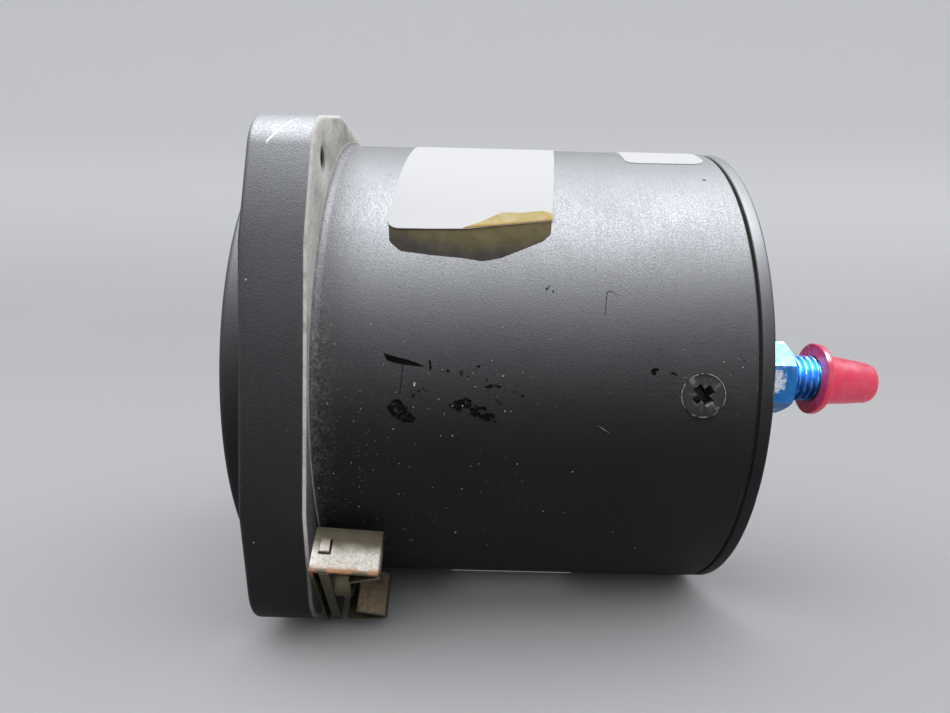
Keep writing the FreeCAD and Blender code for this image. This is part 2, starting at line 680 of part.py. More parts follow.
def make_case():
    body = new_body("case_body")

    flange = new_sketch(body, "XZ_Plane", "flange_outline")
    half, flat, ear = flange_half_width, flange_flat_half, ear_reach
    quarter = [(half, flat), (ear, ear), (flat, half)]
    outline = []
    outline += quarter
    outline += [(-x, y) for x, y in reversed(quarter)]
    outline += [(-x, -y) for x, y in quarter]
    outline += [(x, -y) for x, y in reversed(quarter)]
    draw_outline(flange, outline)
    draw_circle(flange, 0, 0, s.barrel_radius - s.barrel_wall / 2)
    plate = pad(body, flange, "flange", s.flange_thickness)

    def at_ear(edge):
        first, last = edge.Vertexes[0].Point, edge.Vertexes[-1].Point
        along = abs(first.x - last.x) < 1e-6 and abs(first.z - last.z) < 1e-6
        return along and abs(abs(first.x) - ear.value) < 1e-3 and abs(abs(first.z) - ear.value) < 1e-3

    ears = dress(body, "Fillet", "ear_rounds", plate, edges_where(plate, at_ear), s.ear_round)

    def on_flange_edge(edge):
        box = edge.BoundBox
        flat_edge = box.YLength < 1e-6
        middle = edge.valueAt((edge.FirstParameter + edge.LastParameter) / 2)
        return flat_edge and math.hypot(middle.x, middle.z) > s.barrel_radius.value + 0.5

    rim = edges_where(ears, on_flange_edge)
    dress(body, "Chamfer", "flange_edges", ears, rim, s.flange_edge_chamfer)

    barrel = new_sketch(body, "XY_Plane", "barrel_profile")
    groove_radius = glass_seat_radius + s.groove_depth
    draw_outline(
        barrel,
        [
            (glass_seat_radius, -s.boss_height),
            (boss_radius, -s.boss_height),
            (boss_radius, 0),
            (s.barrel_radius + s.crease_size, 0),
            (s.barrel_radius + s.crease_size, flange_back),
            (s.barrel_radius, flange_back + s.crease_size),
            (s.barrel_radius, barrel_end),
            (bore_radius, barrel_end),
            (bore_radius, s.ledge_depth + s.ledge_thickness),
            (ledge_radius, s.ledge_depth + s.ledge_thickness),
            (ledge_radius, s.ledge_depth),
            (glass_seat_radius, s.ledge_depth),
            (glass_seat_radius, glass_front + s.ring_clearance),
            (groove_radius, glass_front + s.ring_clearance),
            (groove_radius, ring_front - s.ring_clearance),
            (glass_seat_radius, ring_front - s.ring_clearance),
        ],
    )
    shell = revolve(body, barrel, "barrel")

    front = edges_where(shell, lambda edge: is_circle(edge, boss_radius, -s.boss_height))
    dress(body, "Fillet", "boss_edge", shell, front, s.boss_round)

    lug = new_sketch(body, "XZ_Plane", "lug_outline", z=-lug_front)
    lug_root = bore_radius + s.barrel_wall / 2
    half_lug = s.lug_half_width
    draw_outline(
        lug,
        [
            (lug_reach, -half_lug),
            (lug_root, -half_lug),
            (lug_root, half_lug),
            (lug_reach, half_lug),
        ],
    )
    lug_pad = pad(body, lug, "lug", s.lug_length)
    tapping = new_sketch(body, "XZ_Plane", "lug_hole", z=-lug_front)
    draw_circle(tapping, lug_screw_circle, 0, s.pillar_stud_radius + s.fastener_clearance)
    lug_hole = pocket(body, tapping, "lug_tapping", s.lug_length)
    polar(body, [lug_pad, lug_hole], "lugs", s.lug_count)

    bolt = new_sketch(body, "XZ_Plane", "bolt_hole")
    draw_circle(bolt, bolt_half_spacing, bolt_half_spacing, s.bolt_hole_radius)
    bolt_cut = pocket(body, bolt, "panel_screw_hole", s.flange_thickness)
    polar(body, [bolt_cut], "panel_screw_holes", as_size(4))

    sink = new_sketch(body, "XY_Plane", "cover_screw_sink", y=cover_screw_y, angle=s.cover_turn)
    clear = s.fastener_clearance
    draw_outline(
        sink,
        [
            (bore_radius - 1, 0),
            (bore_radius - 1, s.screw_radius + clear),
            (s.barrel_radius - s.screw_below - s.screw_head_depth, s.screw_radius + clear),
            (s.barrel_radius - s.screw_below, s.screw_head_radius + clear),
            (s.barrel_radius + 1, s.screw_head_radius + clear),
            (s.barrel_radius + 1, 0),
        ],
    )
    sink_cut = revolve(body, sink, "cover_screw_hole", axis="H_Axis", cut=True)
    polar(body, [sink_cut], "cover_screw_holes", s.cover_screw_count)
    keep(body)


# The window in front of the dial


def make_window():
    edge = glass_seat_radius - s.glass_clearance
    bevel = 0.4
    keep(
        turned(
            "cover_glass",
            [
                (0, glass_front),
                (edge - bevel, glass_front),
                (edge, glass_front + bevel),
                (edge, gasket_front),
                (0, gasket_front),
            ],
        )
    )
    keep(tube("glass_gasket", edge, ledge_radius + 0.4, gasket_front, s.ledge_depth))

    ring = new_body("retaining_ring")
    section = new_sketch(ring, "XY_Plane", "ring_section")
    outer = glass_seat_radius + s.groove_depth - s.ring_clearance
    draw_outline(
        section,
        [
            (ring_inner_radius, ring_front),
            (outer, ring_front),
            (outer, glass_front),
            (ring_inner_radius, glass_front),
        ],
    )
    revolve(ring, section, "ring_sweep", angle=360 - s.ring_gap_angle)
    place(ring, angle=90)
    keep(ring)


# The dial and the pointer


def make_dial():
    plate = new_body("dial_plate")
    face = new_sketch(plate, "XZ_Plane", "dial_outline", z=-s.dial_face)
    draw_circle(face, 0, 0, dial_radius)
    draw_circle(face, 0, 0, s.dial_bore)
    for side in (-1, 1):
        hole = s.dial_screw_radius + s.fastener_clearance
        draw_circle(face, side * s.dial_screw_circle, 0, hole)
    pad(plate, face, "dial_sheet", s.dial_thickness)
    keep(plate)

    posts = []
    screws = []
    for side, name in ((-1, "left"), (1, "right")):
        x = side * s.dial_screw_circle
        bore = s.dial_screw_radius + s.fastener_clearance
        post = turned(
            f"dial_post_{name}",
            [
                (bore, dial_back),
                (s.dial_post_radius, dial_back),
                (s.dial_post_radius, plate_front),
                (s.dial_post_stud, plate_front),
                (s.dial_post_stud, plate_back),
                (0, plate_back),
                (0, dial_back + s.dial_screw_length),
                (bore, dial_back + s.dial_screw_length),
            ],
            x=x,
        )
        posts.append(post)
        head = (s.dial_screw_head_radius, s.dial_screw_head_height)
        shank = (s.dial_screw_radius, s.dial_screw_length)
        screws.append(screw(f"dial_screw_{name}", *head, *shank, x, s.dial_face, 0))
    group("dial_posts", posts)
    group("dial_screws", screws)


def make_pointer():
    blade_front = s.pointer_plane - s.pointer_thickness
    seat = s.pointer_seat_radius

    blade = new_body("pointer")
    outline = new_sketch(blade, "XZ_Plane", "pointer_outline", z=-blade_front)
    neck = pointer_length - s.pointer_tip_length
    weight_top = s.pointer_weight_length + 1.5 - s.pointer_tail
    draw_outline(
        outline,
        [
            (0, pointer_length),
            (-s.pointer_neck_half_width, neck),
            (-s.pointer_half_width, seat + 1.5),
            (-s.pointer_half_width - 1, 0),
            (-s.pointer_half_width, -seat - 1.5),
            (-s.pointer_half_width, weight_top),
            (-s.pointer_weight_half_width, weight_top - 1.5),
            (-s.pointer_weight_half_width, -s.pointer_tail),
            (s.pointer_weight_half_width, -s.pointer_tail),
            (s.pointer_weight_half_width, weight_top - 1.5),
            (s.pointer_half_width, weight_top),
            (s.pointer_half_width, -seat - 1.5),
            (s.pointer_half_width + 1, 0),
            (s.pointer_half_width, seat + 1.5),
            (s.pointer_neck_half_width, neck),
        ],
    )
    draw_circle(outline, 0, 0, seat + s.seat_clearance)
    pad(blade, outline, "pointer_sheet", s.pointer_thickness)
    keep(blade)

    nose_bore = s.staff_nose_radius + s.seat_clearance
    keep(
        turned(
            "pointer_hub",
            [
                (nose_bore, blade_front - s.pointer_rivet_height),
                (seat, blade_front - s.pointer_rivet_height),
                (seat, s.pointer_plane),
                (s.pointer_hub_radius, s.pointer_plane),
                (s.pointer_hub_radius, s.pointer_plane + s.pointer_hub_height),
                (nose_bore, s.pointer_plane + s.pointer_hub_height),
            ],
        )
    )


# The mechanism's frame: three round plates held apart by pillars


def make_plates():
    front = new_body("front_plate")
    outline = new_sketch(front, "XZ_Plane", "front_plate_outline", z=-plate_front)
    draw_circle(outline, 0, 0, plate_radius)
    draw_circle(outline, 0, 0, s.bearing_radius + s.seat_clearance)
    draw_circle(outline, sector_x, sector_z, s.small_bearing_radius + s.seat_clearance)
    hole = s.pillar_stud_radius + s.fastener_clearance
    for x, z in around(s.lug_count, as_size(0), lug_screw_circle):
        draw_circle(outline, x, z, hole)
    for x, z in around(s.pillar_count, s.pillar_first_angle, pillar_circle):
        draw_circle(outline, x, z, hole)
    for side in (-1, 1):
        post_hole = s.dial_post_stud + s.seat_clearance
        draw_circle(outline, side * s.dial_screw_circle, 0, post_hole)
    pad(front, outline, "front_plate_sheet", s.front_plate_thickness)
    keep(front)

    middle = new_body("middle_plate")
    outline = new_sketch(middle, "XZ_Plane", "middle_plate_outline", z=-middle_front)
    draw_circle(outline, 0, 0, middle_plate_radius)
    draw_circle(outline, 0, 0, s.small_bearing_radius + s.seat_clearance)
    draw_circle(outline, sector_x, sector_z, s.small_bearing_radius + s.seat_clearance)
    for x, z in around(s.pillar_count, s.pillar_first_angle, pillar_circle):
        draw_circle(outline, x, z, hole)
    foot_hole = s.foot_screw_radius + s.fastener_clearance
    for x in bracket_screw_places():
        draw_circle(outline, x, rocker_z, foot_hole)
    draw_circle(outline, spring_stud_x, 0, s.spring_stud_radius + s.seat_clearance)
    half_slot = s.drive_pin_radius + 1.1
    half_swing = s.drive_pin_radius + 2.4
    draw_outline(
        outline,
        [
            (drive_x - half_slot, rocker_z - half_swing),
            (drive_x + half_slot, rocker_z - half_swing),
            (drive_x + half_slot, rocker_z + half_swing),
            (drive_x - half_slot, rocker_z + half_swing),
        ],
    )
    pad(middle, outline, "middle_plate_sheet", s.middle_plate_thickness)
    keep(middle)

    rear = new_body("rear_plate")
    outline = new_sketch(rear, "XZ_Plane", "rear_plate_outline", z=-rear_front)
    draw_circle(outline, 0, 0, middle_plate_radius)
    draw_circle(outline, 0, 0, s.base_stud_radius + s.fastener_clearance)
    for x, z in around(s.pillar_count, s.pillar_first_angle, pillar_circle):
        draw_circle(outline, x, z, hole)
    for x, z in around(s.window_count, as_size(0), s.window_circle):
        draw_circle(outline, x, z, s.window_radius)
    pad(rear, outline, "rear_plate_sheet", s.rear_plate_thickness)
    keep(rear)


def make_pillars():
    """Long pillars screw through the middle plate into the short ones in front of it."""
    thread = s.pillar_stud_radius
    hole = thread + s.fastener_clearance
    short_pillars = []
    long_pillars = []
    plate_screws = []
    front_screws = []
    rear_screws = []
    spots = around(s.pillar_count, s.pillar_first_angle, pillar_circle)
    head = (s.frame_screw_head_radius, s.frame_screw_head_height)
    front_length = s.front_plate_thickness + s.pillar_stud_length / 2
    rear_length = s.rear_plate_thickness + s.pillar_stud_length
    for number, (x, z) in enumerate(spots, 1):
        name = f"short_pillar_{number}"
        short_pillars.append(tube(name, s.pillar_radius, hole, plate_back, middle_front, x, z))
        blind = rear_front - s.pillar_stud_length - 0.5
        long_pillars.append(
            turned(
                f"long_pillar_{number}",
                [
                    (0, middle_front - s.pillar_stud_length),
                    (thread, middle_front - s.pillar_stud_length),
                    (thread, middle_back),
                    (s.pillar_radius, middle_back),
                    (s.pillar_radius, rear_front),
                    (hole, rear_front),
                    (hole, blind),
                    (0, blind),
                ],
                x=x,
                z=z,
            )
        )
        name = f"front_frame_screw_{number}"
        front_screws.append(screw(name, *head, thread, front_length, x, plate_front, z))
        name = f"rear_frame_screw_{number}"
        rear_screws.append(screw(name, *head, thread, rear_length, x, rear_back, z, -1))
    spots = around(s.lug_count, as_size(0), lug_screw_circle)
    plate_length = s.front_plate_thickness + s.lug_length - 0.5
    for number, (x, z) in enumerate(spots, 1):
        name = f"mechanism_screw_{number}"
        plate_screws.append(screw(name, *head, thread, plate_length, x, plate_back, z, -1))
    group("short_pillars", short_pillars)
    group("long_pillars", long_pillars)
    group("front_frame_screws", front_screws)
    group("rear_frame_screws", rear_screws)
    group("mechanism_screws", plate_screws)


def make_bearings():
    front_bush = s.bearing_radius
    bore = s.staff_radius + s.shaft_clearance
    front = tube("staff_bearing_front", front_bush, bore, plate_front - s.bearing_flange, plate_back)
    pivot_bore = s.staff_pivot_radius + s.shaft_clearance
    rear = tube("staff_bearing_rear", s.small_bearing_radius, pivot_bore, middle_front, middle_back)
    group("staff_bearings", [front, rear])

    bore = s.sector_pivot_radius + s.shaft_clearance
    place_at = (sector_x, sector_z)
    bush = s.small_bearing_radius
    front = tube("sector_bearing_front", bush, bore, plate_front, plate_back, *place_at)
    rear = tube("sector_bearing_rear", bush, bore, middle_front, middle_back, *place_at)
    group("sector_bearings", [front, rear])


# The gear train


def involute(angle):
    return math.tan(angle) - angle


def tooth_half_angle(radius, teeth, shift):
    """Half of the angle that a tooth covers at a radius, from the involute's formula."""
    module = s.gear_module.value
    pitch_radius = module * teeth / 2
    base_radius = pitch_radius * math.cos(TEETH_PRESSURE_ANGLE)
    thickness = module * (math.pi / 2 + 2 * shift * math.tan(TEETH_PRESSURE_ANGLE))
    thickness -= s.tooth_backlash.value
    roll = math.acos(min(1.0, base_radius / max(radius, base_radius)))
    return thickness / (2 * pitch_radius) + involute(TEETH_PRESSURE_ANGLE) - involute(roll)


def polar_point(radius, angle, centre=(0.0, 0.0), y=0.0):
    x = centre[0] + radius * math.cos(angle)
    return FreeCAD.Vector(x, y, centre[1] + radius * math.sin(angle))


def tooth_edges(teeth, shift, angle, centre, y):
    """One tooth's flanks and tip; returns the edges and the two root points."""
    module = s.gear_module.value
    pitch_radius = module * teeth / 2
    base_radius = pitch_radius * math.cos(TEETH_PRESSURE_ANGLE)
    root_radius = pitch_radius - module * (1.25 - shift)
    tip_radius = pitch_radius + module * (1 + shift)
    start = max(base_radius, root_radius)
    steps = 4
    radii = [start + (tip_radius - start) * step / steps for step in range(steps + 1)]
    flanks = []
    for side in (-1, 1):
        curve = Part.BSplineCurve()
        points = []
        for radius in radii:
            turn = angle + side * tooth_half_angle(radius, teeth, shift)
            points.append(polar_point(radius, turn, centre, y))
        curve.interpolate(points)
        flanks.append((curve.toShape(), points))
    first, last = flanks[0][1], flanks[1][1]
    edges = [flanks[0][0], Part.makeLine(first[-1], last[-1]), flanks[1][0]]
    ends = [first[0], last[0]]
    if root_radius < start - 1e-6:
        half = tooth_half_angle(start, teeth, shift)
        feet = [polar_point(root_radius, angle + side * half, centre, y) for side in (-1, 1)]
        edges.append(Part.makeLine(feet[0], first[0]))
        edges.append(Part.makeLine(feet[1], last[0]))
        ends = feet
    return edges, ends


def mesh_direction():
    """Direction from the sector's shaft to the pinion, from +X towards +Z."""
    return math.atan2(-sector_z.value, -sector_x.value)


def prism(edges, height, holes=()):
    """A flat plate from one outline and some holes, drawn in a plane across Y."""
    outline = Part.Wire(Part.__sortEdges__(edges))
    face = Part.Face([outline, *holes])
    if face.normalAt(0, 0).y < 0:
        face.reverse()
    return face.extrude(FreeCAD.Vector(0, height, 0))


def circle_wire(radius, centre, y):
    spot = FreeCAD.Vector(centre[0], y, centre[1])
    return Part.Wire(Part.makeCircle(radius, spot, FreeCAD.Vector(0, 1, 0)))


def make_pinion():
    """The staff with the pinion cut on it, in one piece."""
    teeth = int(s.pinion_teeth.value)
    front = (plate_back + s.pinion_start).value
    away = mesh_direction() + math.pi
    edges = []
    feet = []
    for number in range(teeth):
        turn = away + (number + 0.5) * 2 * math.pi / teeth
        tooth, ends = tooth_edges(teeth, s.tooth_shift.value, turn, (0.0, 0.0), front)
        edges += tooth
        feet.append(ends)
    for number in range(teeth):
        edges.append(Part.makeLine(feet[number][1], feet[(number + 1) % teeth][0]))
    gear = prism(edges, s.pinion_length.value)

    nose_end = s.pointer_plane - s.pointer_thickness - s.staff_nose_reach
    shoulder = s.pointer_plane + s.pointer_hub_height
    rear_shoulder = middle_front - s.shaft_end_gap
    profile = [
        (0, nose_end),
        (s.staff_nose_radius, nose_end),
        (s.staff_nose_radius, shoulder),
        (s.staff_radius, shoulder),
        (s.staff_radius, rear_shoulder),
        (s.staff_pivot_radius, rear_shoulder),
        (s.staff_pivot_radius, middle_back),
        (0, middle_back),
    ]
    points = [FreeCAD.Vector(as_size(x).value, as_size(y).value, 0) for x, y in profile]
    wire = Part.makePolygon(points + [points[0]])
    staff = Part.Face(wire).revolve(FreeCAD.Vector(0, 0, 0), FreeCAD.Vector(0, 1, 0), 360)
    item = doc.addObject("Part::Feature", "pinion_staff")
    item.Label = "pinion_staff"
    item.Shape = staff.fuse(gear).removeSplitter()
    item.Placement = FreeCAD.Placement()
    keep(item)


def make_sector():
    """The toothed sector: a fan with a window, round its shaft."""
    full = int(s.sector_full_teeth.value)
    count = int(s.sector_cut_teeth.value)
    centre = (sector_x.value, sector_z.value)
    y = sector_front.value
    towards = mesh_direction()
    pitch = 2 * math.pi / full
    edges = []
    feet = []
    for number in range(count):
        # The middle of the row has a tooth on the line of centres
        turn = towards + (number - count // 2) * pitch
        tooth, ends = tooth_edges(full, -s.tooth_shift.value, turn, centre, y)
        edges += tooth
        feet.append(ends)
    for number in range(count - 1):
        edges.append(Part.makeLine(feet[number][1], feet[number + 1][0]))

    # The two sides run in to the hub and meet round its back
    hub = s.sector_hub_radius.value
    spread = math.radians(80)
    low = polar_point(hub, towards - spread, centre, y)
    high = polar_point(hub, towards + spread, centre, y)
    back = polar_point(hub, towards + math.pi, centre, y)
    edges.append(Part.makeLine(feet[0][0], low))
    edges.append(Part.makeLine(feet[-1][1], high))
    edges.append(Part.Arc(low, back, high).toShape())

    inner, outer = s.sector_window_inner.value, s.sector_window_outer.value
    half = math.radians(s.sector_window_half_angle.value)
    arcs = []
    for radius in (inner, outer):
        spots = [polar_point(radius, towards + turn, centre, y) for turn in (-half, 0, half)]
        arcs.append(spots)
    window = Part.Wire(
        Part.__sortEdges__(
            [
                Part.Arc(*arcs[0]).toShape(),
                Part.Arc(*arcs[1]).toShape(),
                Part.makeLine(arcs[0][0], arcs[1][0]),
                Part.makeLine(arcs[0][2], arcs[1][2]),
            ]
        )
    )
    bore = circle_wire((s.sector_shaft_radius + s.seat_clearance).value, centre, y)
    item = doc.addObject("Part::Feature", "sector_gear")
    item.Label = "sector_gear"
    item.Shape = prism(edges, s.sector_thickness.value, (window, bore))
    item.Placement = FreeCAD.Placement()
    keep(item)

    bore_size = s.sector_shaft_radius + s.seat_clearance
    hub_place = (sector_x, sector_z)
    length = (sector_back, follower_front)
    keep(tube("sector_hub", s.sector_hub_radius, bore_size, *length, *hub_place))

    front_shoulder = plate_back + s.shaft_end_gap
    rear_shoulder = middle_front - s.shaft_end_gap
    keep(
        turned(
            "sector_shaft",
            [
                (0, plate_front + s.shaft_end_gap),
                (s.sector_pivot_radius, plate_front + s.shaft_end_gap),
                (s.sector_pivot_radius, front_shoulder),
                (s.sector_shaft_radius, front_shoulder),
                (s.sector_shaft_radius, rear_shoulder),
                (s.sector_pivot_radius, rear_shoulder),
                (s.sector_pivot_radius, middle_back - s.shaft_end_gap),
                (0, middle_back - s.shaft_end_gap),
            ],
            x=sector_x,
            z=sector_z,
        )
    )

    arm = new_body("follower_arm")
    outline = new_sketch(arm, "XZ_Plane", "follower_outline", z=-follower_front)
    end = s.follower_reach + s.follower_slot_travel + s.drive_pin_radius + 0.9
    wide = s.sector_hub_radius
    draw_outline(
        outline,
        [
            (-wide, -wide / 2),
            (-wide / 2, -wide),
            (wide / 2, -wide),
            (wide, -s.follower_half_width),
            (end, -s.follower_half_width),
            (end, s.follower_half_width),
            (wide, s.follower_half_width),
            (wide / 2, wide),
            (-wide / 2, wide),
            (-wide, wide / 2),
        ],
    )
    draw_circle(outline, 0, 0, bore_size)
    half_slot = s.drive_pin_radius + s.follower_slot_travel
    draw_outline(
        outline,
        [
            (s.follower_reach - half_slot, -s.follower_slot_half),
            (s.follower_reach + half_slot, -s.follower_slot_half),
            (s.follower_reach + half_slot, s.follower_slot_half),
            (s.follower_reach - half_slot, s.follower_slot_half),
        ],
    )
    pad(arm, outline, "follower_sheet", s.follower_thickness)
    place(arm, x=sector_x, z=sector_z)
    keep(arm)


# The hairspring, wound between the pinion staff and a post on the middle plate

spring_stud_x = s.spring_outer_radius + s.spring_stud_radius
collet_front = middle_front - s.shaft_end_gap - s.collet_length
spring_front = collet_front + (s.collet_length - s.spring_height) / 2


def make_hairspring():
    bore = s.staff_radius + s.seat_clearance
    collet_back = collet_front + s.collet_length
    keep(tube("hairspring_collet", s.collet_radius, bore, collet_front, collet_back))

    length = middle_back - spring_front
    stud = rod("stud_rod", s.spring_stud_radius, length, spring_stud_x, spring_front, 0, "+Y")
    stud.Label = "hairspring_stud"
    keep(stud)

    # Straight runs stand in for the curve, which keeps this fine strip light to draw
    turns = s.spring_turns.value
    half = s.spring_strip.value / 2
    inner = s.collet_radius.value + half
    outer = s.spring_outer_radius.value - half
    y = spring_front.value
    count = int(turns * s.spring_runs.value)
    sides = []
    for offset in (-half, half):
        points = []
        for number in range(count + 1):
            share = number / count
            radius = inner + (outer - inner) * share + offset
            points.append(polar_point(radius, 2 * math.pi * turns * share, (0.0, 0.0), y))
        sides.append(points)
    loop = sides[0] + sides[1][::-1]
    edges = [Part.makeLine(a, b) for a, b in zip(loop, loop[1:] + loop[:1])]
    item = doc.addObject("Part::Feature", "hairspring")
    item.Label = "hairspring"
    item.Shape = prism(edges, s.spring_height.value)
    item.Placement = FreeCAD.Placement()
    keep(item)


# The rocking shaft, which turns the capsules' push into a turn of the sector

left_bracket = -(s.rocker_left + s.bracket_gap)
right_bracket = s.rocker_right + s.bracket_gap


def bracket_screw_places():
    """Middle of each bracket's foot along X."""
    reach = s.bracket_thickness + s.bracket_foot / 2
    return [left_bracket - reach, right_bracket + reach]


def make_rocker():
    shaft = new_body("rocking_shaft")
    profile = new_sketch(shaft, "XY_Plane", "rocking_shaft_profile")
    pivot = s.rocker_pivot_radius
    left = -s.rocker_left
    right = s.rocker_right
    draw_outline(
        profile,
        [
            (left - s.rocker_pivot_length, 0),
            (left - s.rocker_pivot_length, pivot),
            (left, pivot),
            (left, s.rocker_radius),
            (right, s.rocker_radius),
            (right, pivot),
            (right + s.rocker_pivot_length, pivot),
            (right + s.rocker_pivot_length, 0),
        ],
    )
    revolve(shaft, profile, "rocking_shaft_turned", axis="H_Axis")
    place(shaft, y=rocker_y, z=rocker_z)
    keep(shaft)

    bore_size = s.rocker_radius + s.seat_clearance
    half = s.drive_collar_half
    collar = rod("drive_collar", s.collar_radius, half * 2, drive_x - half, rocker_y, rocker_z, "+X")
    pin_length = rocker_y - follower_middle + s.drive_pin_past
    pin = rod("drive_pin", s.drive_pin_radius, pin_length, drive_x, rocker_y, rocker_z, "-Y")
    bore = rod("drive_bore", bore_size, half * 4, drive_x - half * 2, rocker_y, rocker_z, "+X")
    arm = drilled("drive_arm", joined("drive_arm_blank", [collar, pin]), bore)
    arm.Label = "drive_arm"
    keep(arm)

    lift = new_body("lift_arm")
    outline = new_sketch(lift, "YZ_Plane", "lift_arm_outline", z=s.lift_arm_offset)
    eye = s.lift_eye_radius
    wide = s.collar_radius
    draw_outline(
        outline,
        [
            (-wide, -wide / 2),
            (-wide / 2, -wide),
            (wide / 2, -wide),
            (wide, -wide / 2),
            (wide, wide / 2),
            (eye, s.sector_height - eye / 2),
            (eye / 2, s.sector_height + eye),
            (-eye / 2, s.sector_height + eye),
            (-eye, s.sector_height - eye / 2),
            (-wide, wide / 2),
        ],
    )
    draw_circle(outline, 0, 0, bore_size)
    draw_circle(outline, 0, s.sector_height, s.link_pin_radius + s.seat_clearance)
    pad(lift, outline, "lift_arm_sheet", s.lift_arm_half * 2, both_ways=True)
    place(lift, y=rocker_y, z=rocker_z)
    keep(lift)

    pin_left = -(s.link_half_thickness + 0.3)
    pin_right = s.lift_arm_offset + s.lift_arm_half
    length = pin_right - pin_left
    pin = rod("lift_pin_rod", s.link_pin_radius, length, pin_left, rocker_y, 0, "+X")
    pin.Label = "lift_arm_pin"
    keep(pin)

    half = s.drive_collar_half
    x = s.balance_offset
    collar = rod("balance_collar", s.collar_radius, half * 2, x - half, rocker_y, rocker_z, "+X")
    reach = s.balance_drop + s.balance_length / 2
    stem = rod("balance_stem", s.balance_rod_radius, reach, x, rocker_y, rocker_z, "-Z")
    bore = rod("balance_bore", bore_size, half * 4, x - half * 2, rocker_y, rocker_z, "+X")
    arm = drilled("balance_arm", joined("balance_blank", [collar, stem]), bore)
    arm.Label = "balance_arm"
    keep(arm)
    top = rocker_z - s.balance_drop + s.balance_length / 2
    weight = rod("balance_body", s.balance_radius, s.balance_length, x, rocker_y, top, "-Z")
    hole_size = s.balance_rod_radius + s.seat_clearance
    hole_top = top + 1
    hole = rod("balance_hole", hole_size, s.balance_length + 2, x, rocker_y, hole_top, "-Z")
    weight = drilled("balance_weight", weight, hole)
    weight.Label = "balance_weight"
    keep(weight)


def make_brackets():
    """Two angle brackets on the middle plate, with a pivot screw through each."""
    brackets = []
    pivots = []
    foot_screws = []
    screw_places = bracket_screw_places()
    for side, inner, name in ((-1, left_bracket, "left"), (1, right_bracket, "right")):
        bracket = new_body(f"rocker_bracket_{name}")
        profile = new_sketch(bracket, "XY_Plane", f"bracket_{name}_profile", z=rocker_z)
        outer = inner + side * s.bracket_thickness
        toe = outer + side * s.bracket_foot
        foot_top = middle_back + s.bracket_foot_thickness
        crown = rocker_y + s.bracket_past
        points = [
            (inner, middle_back),
            (toe, middle_back),
            (toe, foot_top),
            (outer, foot_top),
            (outer, crown),
            (inner, crown),
        ]
        draw_outline(profile, points)
        pad(bracket, profile, f"bracket_{name}_blank", s.bracket_half_height * 2, both_ways=True)
        hole = new_sketch(bracket, "YZ_Plane", f"bracket_{name}_tapping", z=inner)
        draw_circle(hole, rocker_y, rocker_z, s.pivot_screw_radius + s.fastener_clearance)
        pocket(bracket, hole, f"bracket_{name}_hole", s.bracket_thickness * 3, both_ways=True)
        slot = new_sketch(bracket, "XZ_Plane", f"bracket_{name}_foot_hole", z=-middle_back)
        screw_x = screw_places[0] if side < 0 else screw_places[1]
        draw_circle(slot, screw_x, rocker_z, s.foot_screw_radius + s.fastener_clearance)
        pocket(bracket, slot, f"bracket_{name}_foot_cut", s.bracket_foot_thickness)
        brackets.append(bracket)

        pivot = new_body(f"pivot_screw_{name}")
        profile = new_sketch(pivot, "XY_Plane", f"pivot_{name}_profile")
        shoulder = -s.rocker_left if side < 0 else s.rocker_right
        tip = shoulder + side * s.rocker_end_play
        cup = s.rocker_pivot_length
        cup_radius = s.rocker_pivot_radius + s.shaft_clearance
        end = outer + side * s.pivot_screw_past
        draw_outline(
            profile,
            [
                (tip, cup_radius),
                (tip, s.pivot_screw_radius),
                (end, s.pivot_screw_radius),
                (end, 0),
                (tip + side * cup, 0),
                (tip + side * cup, cup_radius),
            ],
        )
        revolve(pivot, profile, f"pivot_{name}_turned", axis="H_Axis")
        place(pivot, y=rocker_y, z=rocker_z)
        pivots.append(pivot)

        length = s.middle_plate_thickness + s.bracket_foot_thickness
        head = (s.foot_screw_head_radius, s.foot_screw_head_height)
        name = f"bracket_screw_{name}"
        thread = s.foot_screw_radius
        foot_screws.append(screw(name, *head, thread, length, screw_x, foot_top, rocker_z, -1))
    group("rocker_brackets", brackets)
    group("pivot_screws", pivots)
    group("bracket_screws", foot_screws)


# The stack of evacuated capsules, which shortens as the pressure round it rises


def diaphragm(label, rim_plane, outward):
    """One corrugated sheet; outward is -1 for a front half and 1 for a rear half."""
    sheet = s.diaphragm_thickness
    crown = s.capsule_depth / 2 - sheet
    start = s.capsule_hub_radius
    end = capsule_radius - s.capsule_rim
    steps = int(s.corrugations.value) * 2
    line = [(s.capsule_bore, crown), (start, crown)]
    for step in range(1, steps):
        radius = start + (end - start) * step / steps
        height = crown - s.corrugation_depth if step % 2 else crown
        line.append((radius, height))
    line += [(end, as_size(0)), (capsule_radius, as_size(0))]
    near = [(radius, rim_plane + outward * height) for radius, height in line]
    far = [(radius, rim_plane + outward * (height + sheet)) for radius, height in reversed(line)]
    return turned(label, near + far)


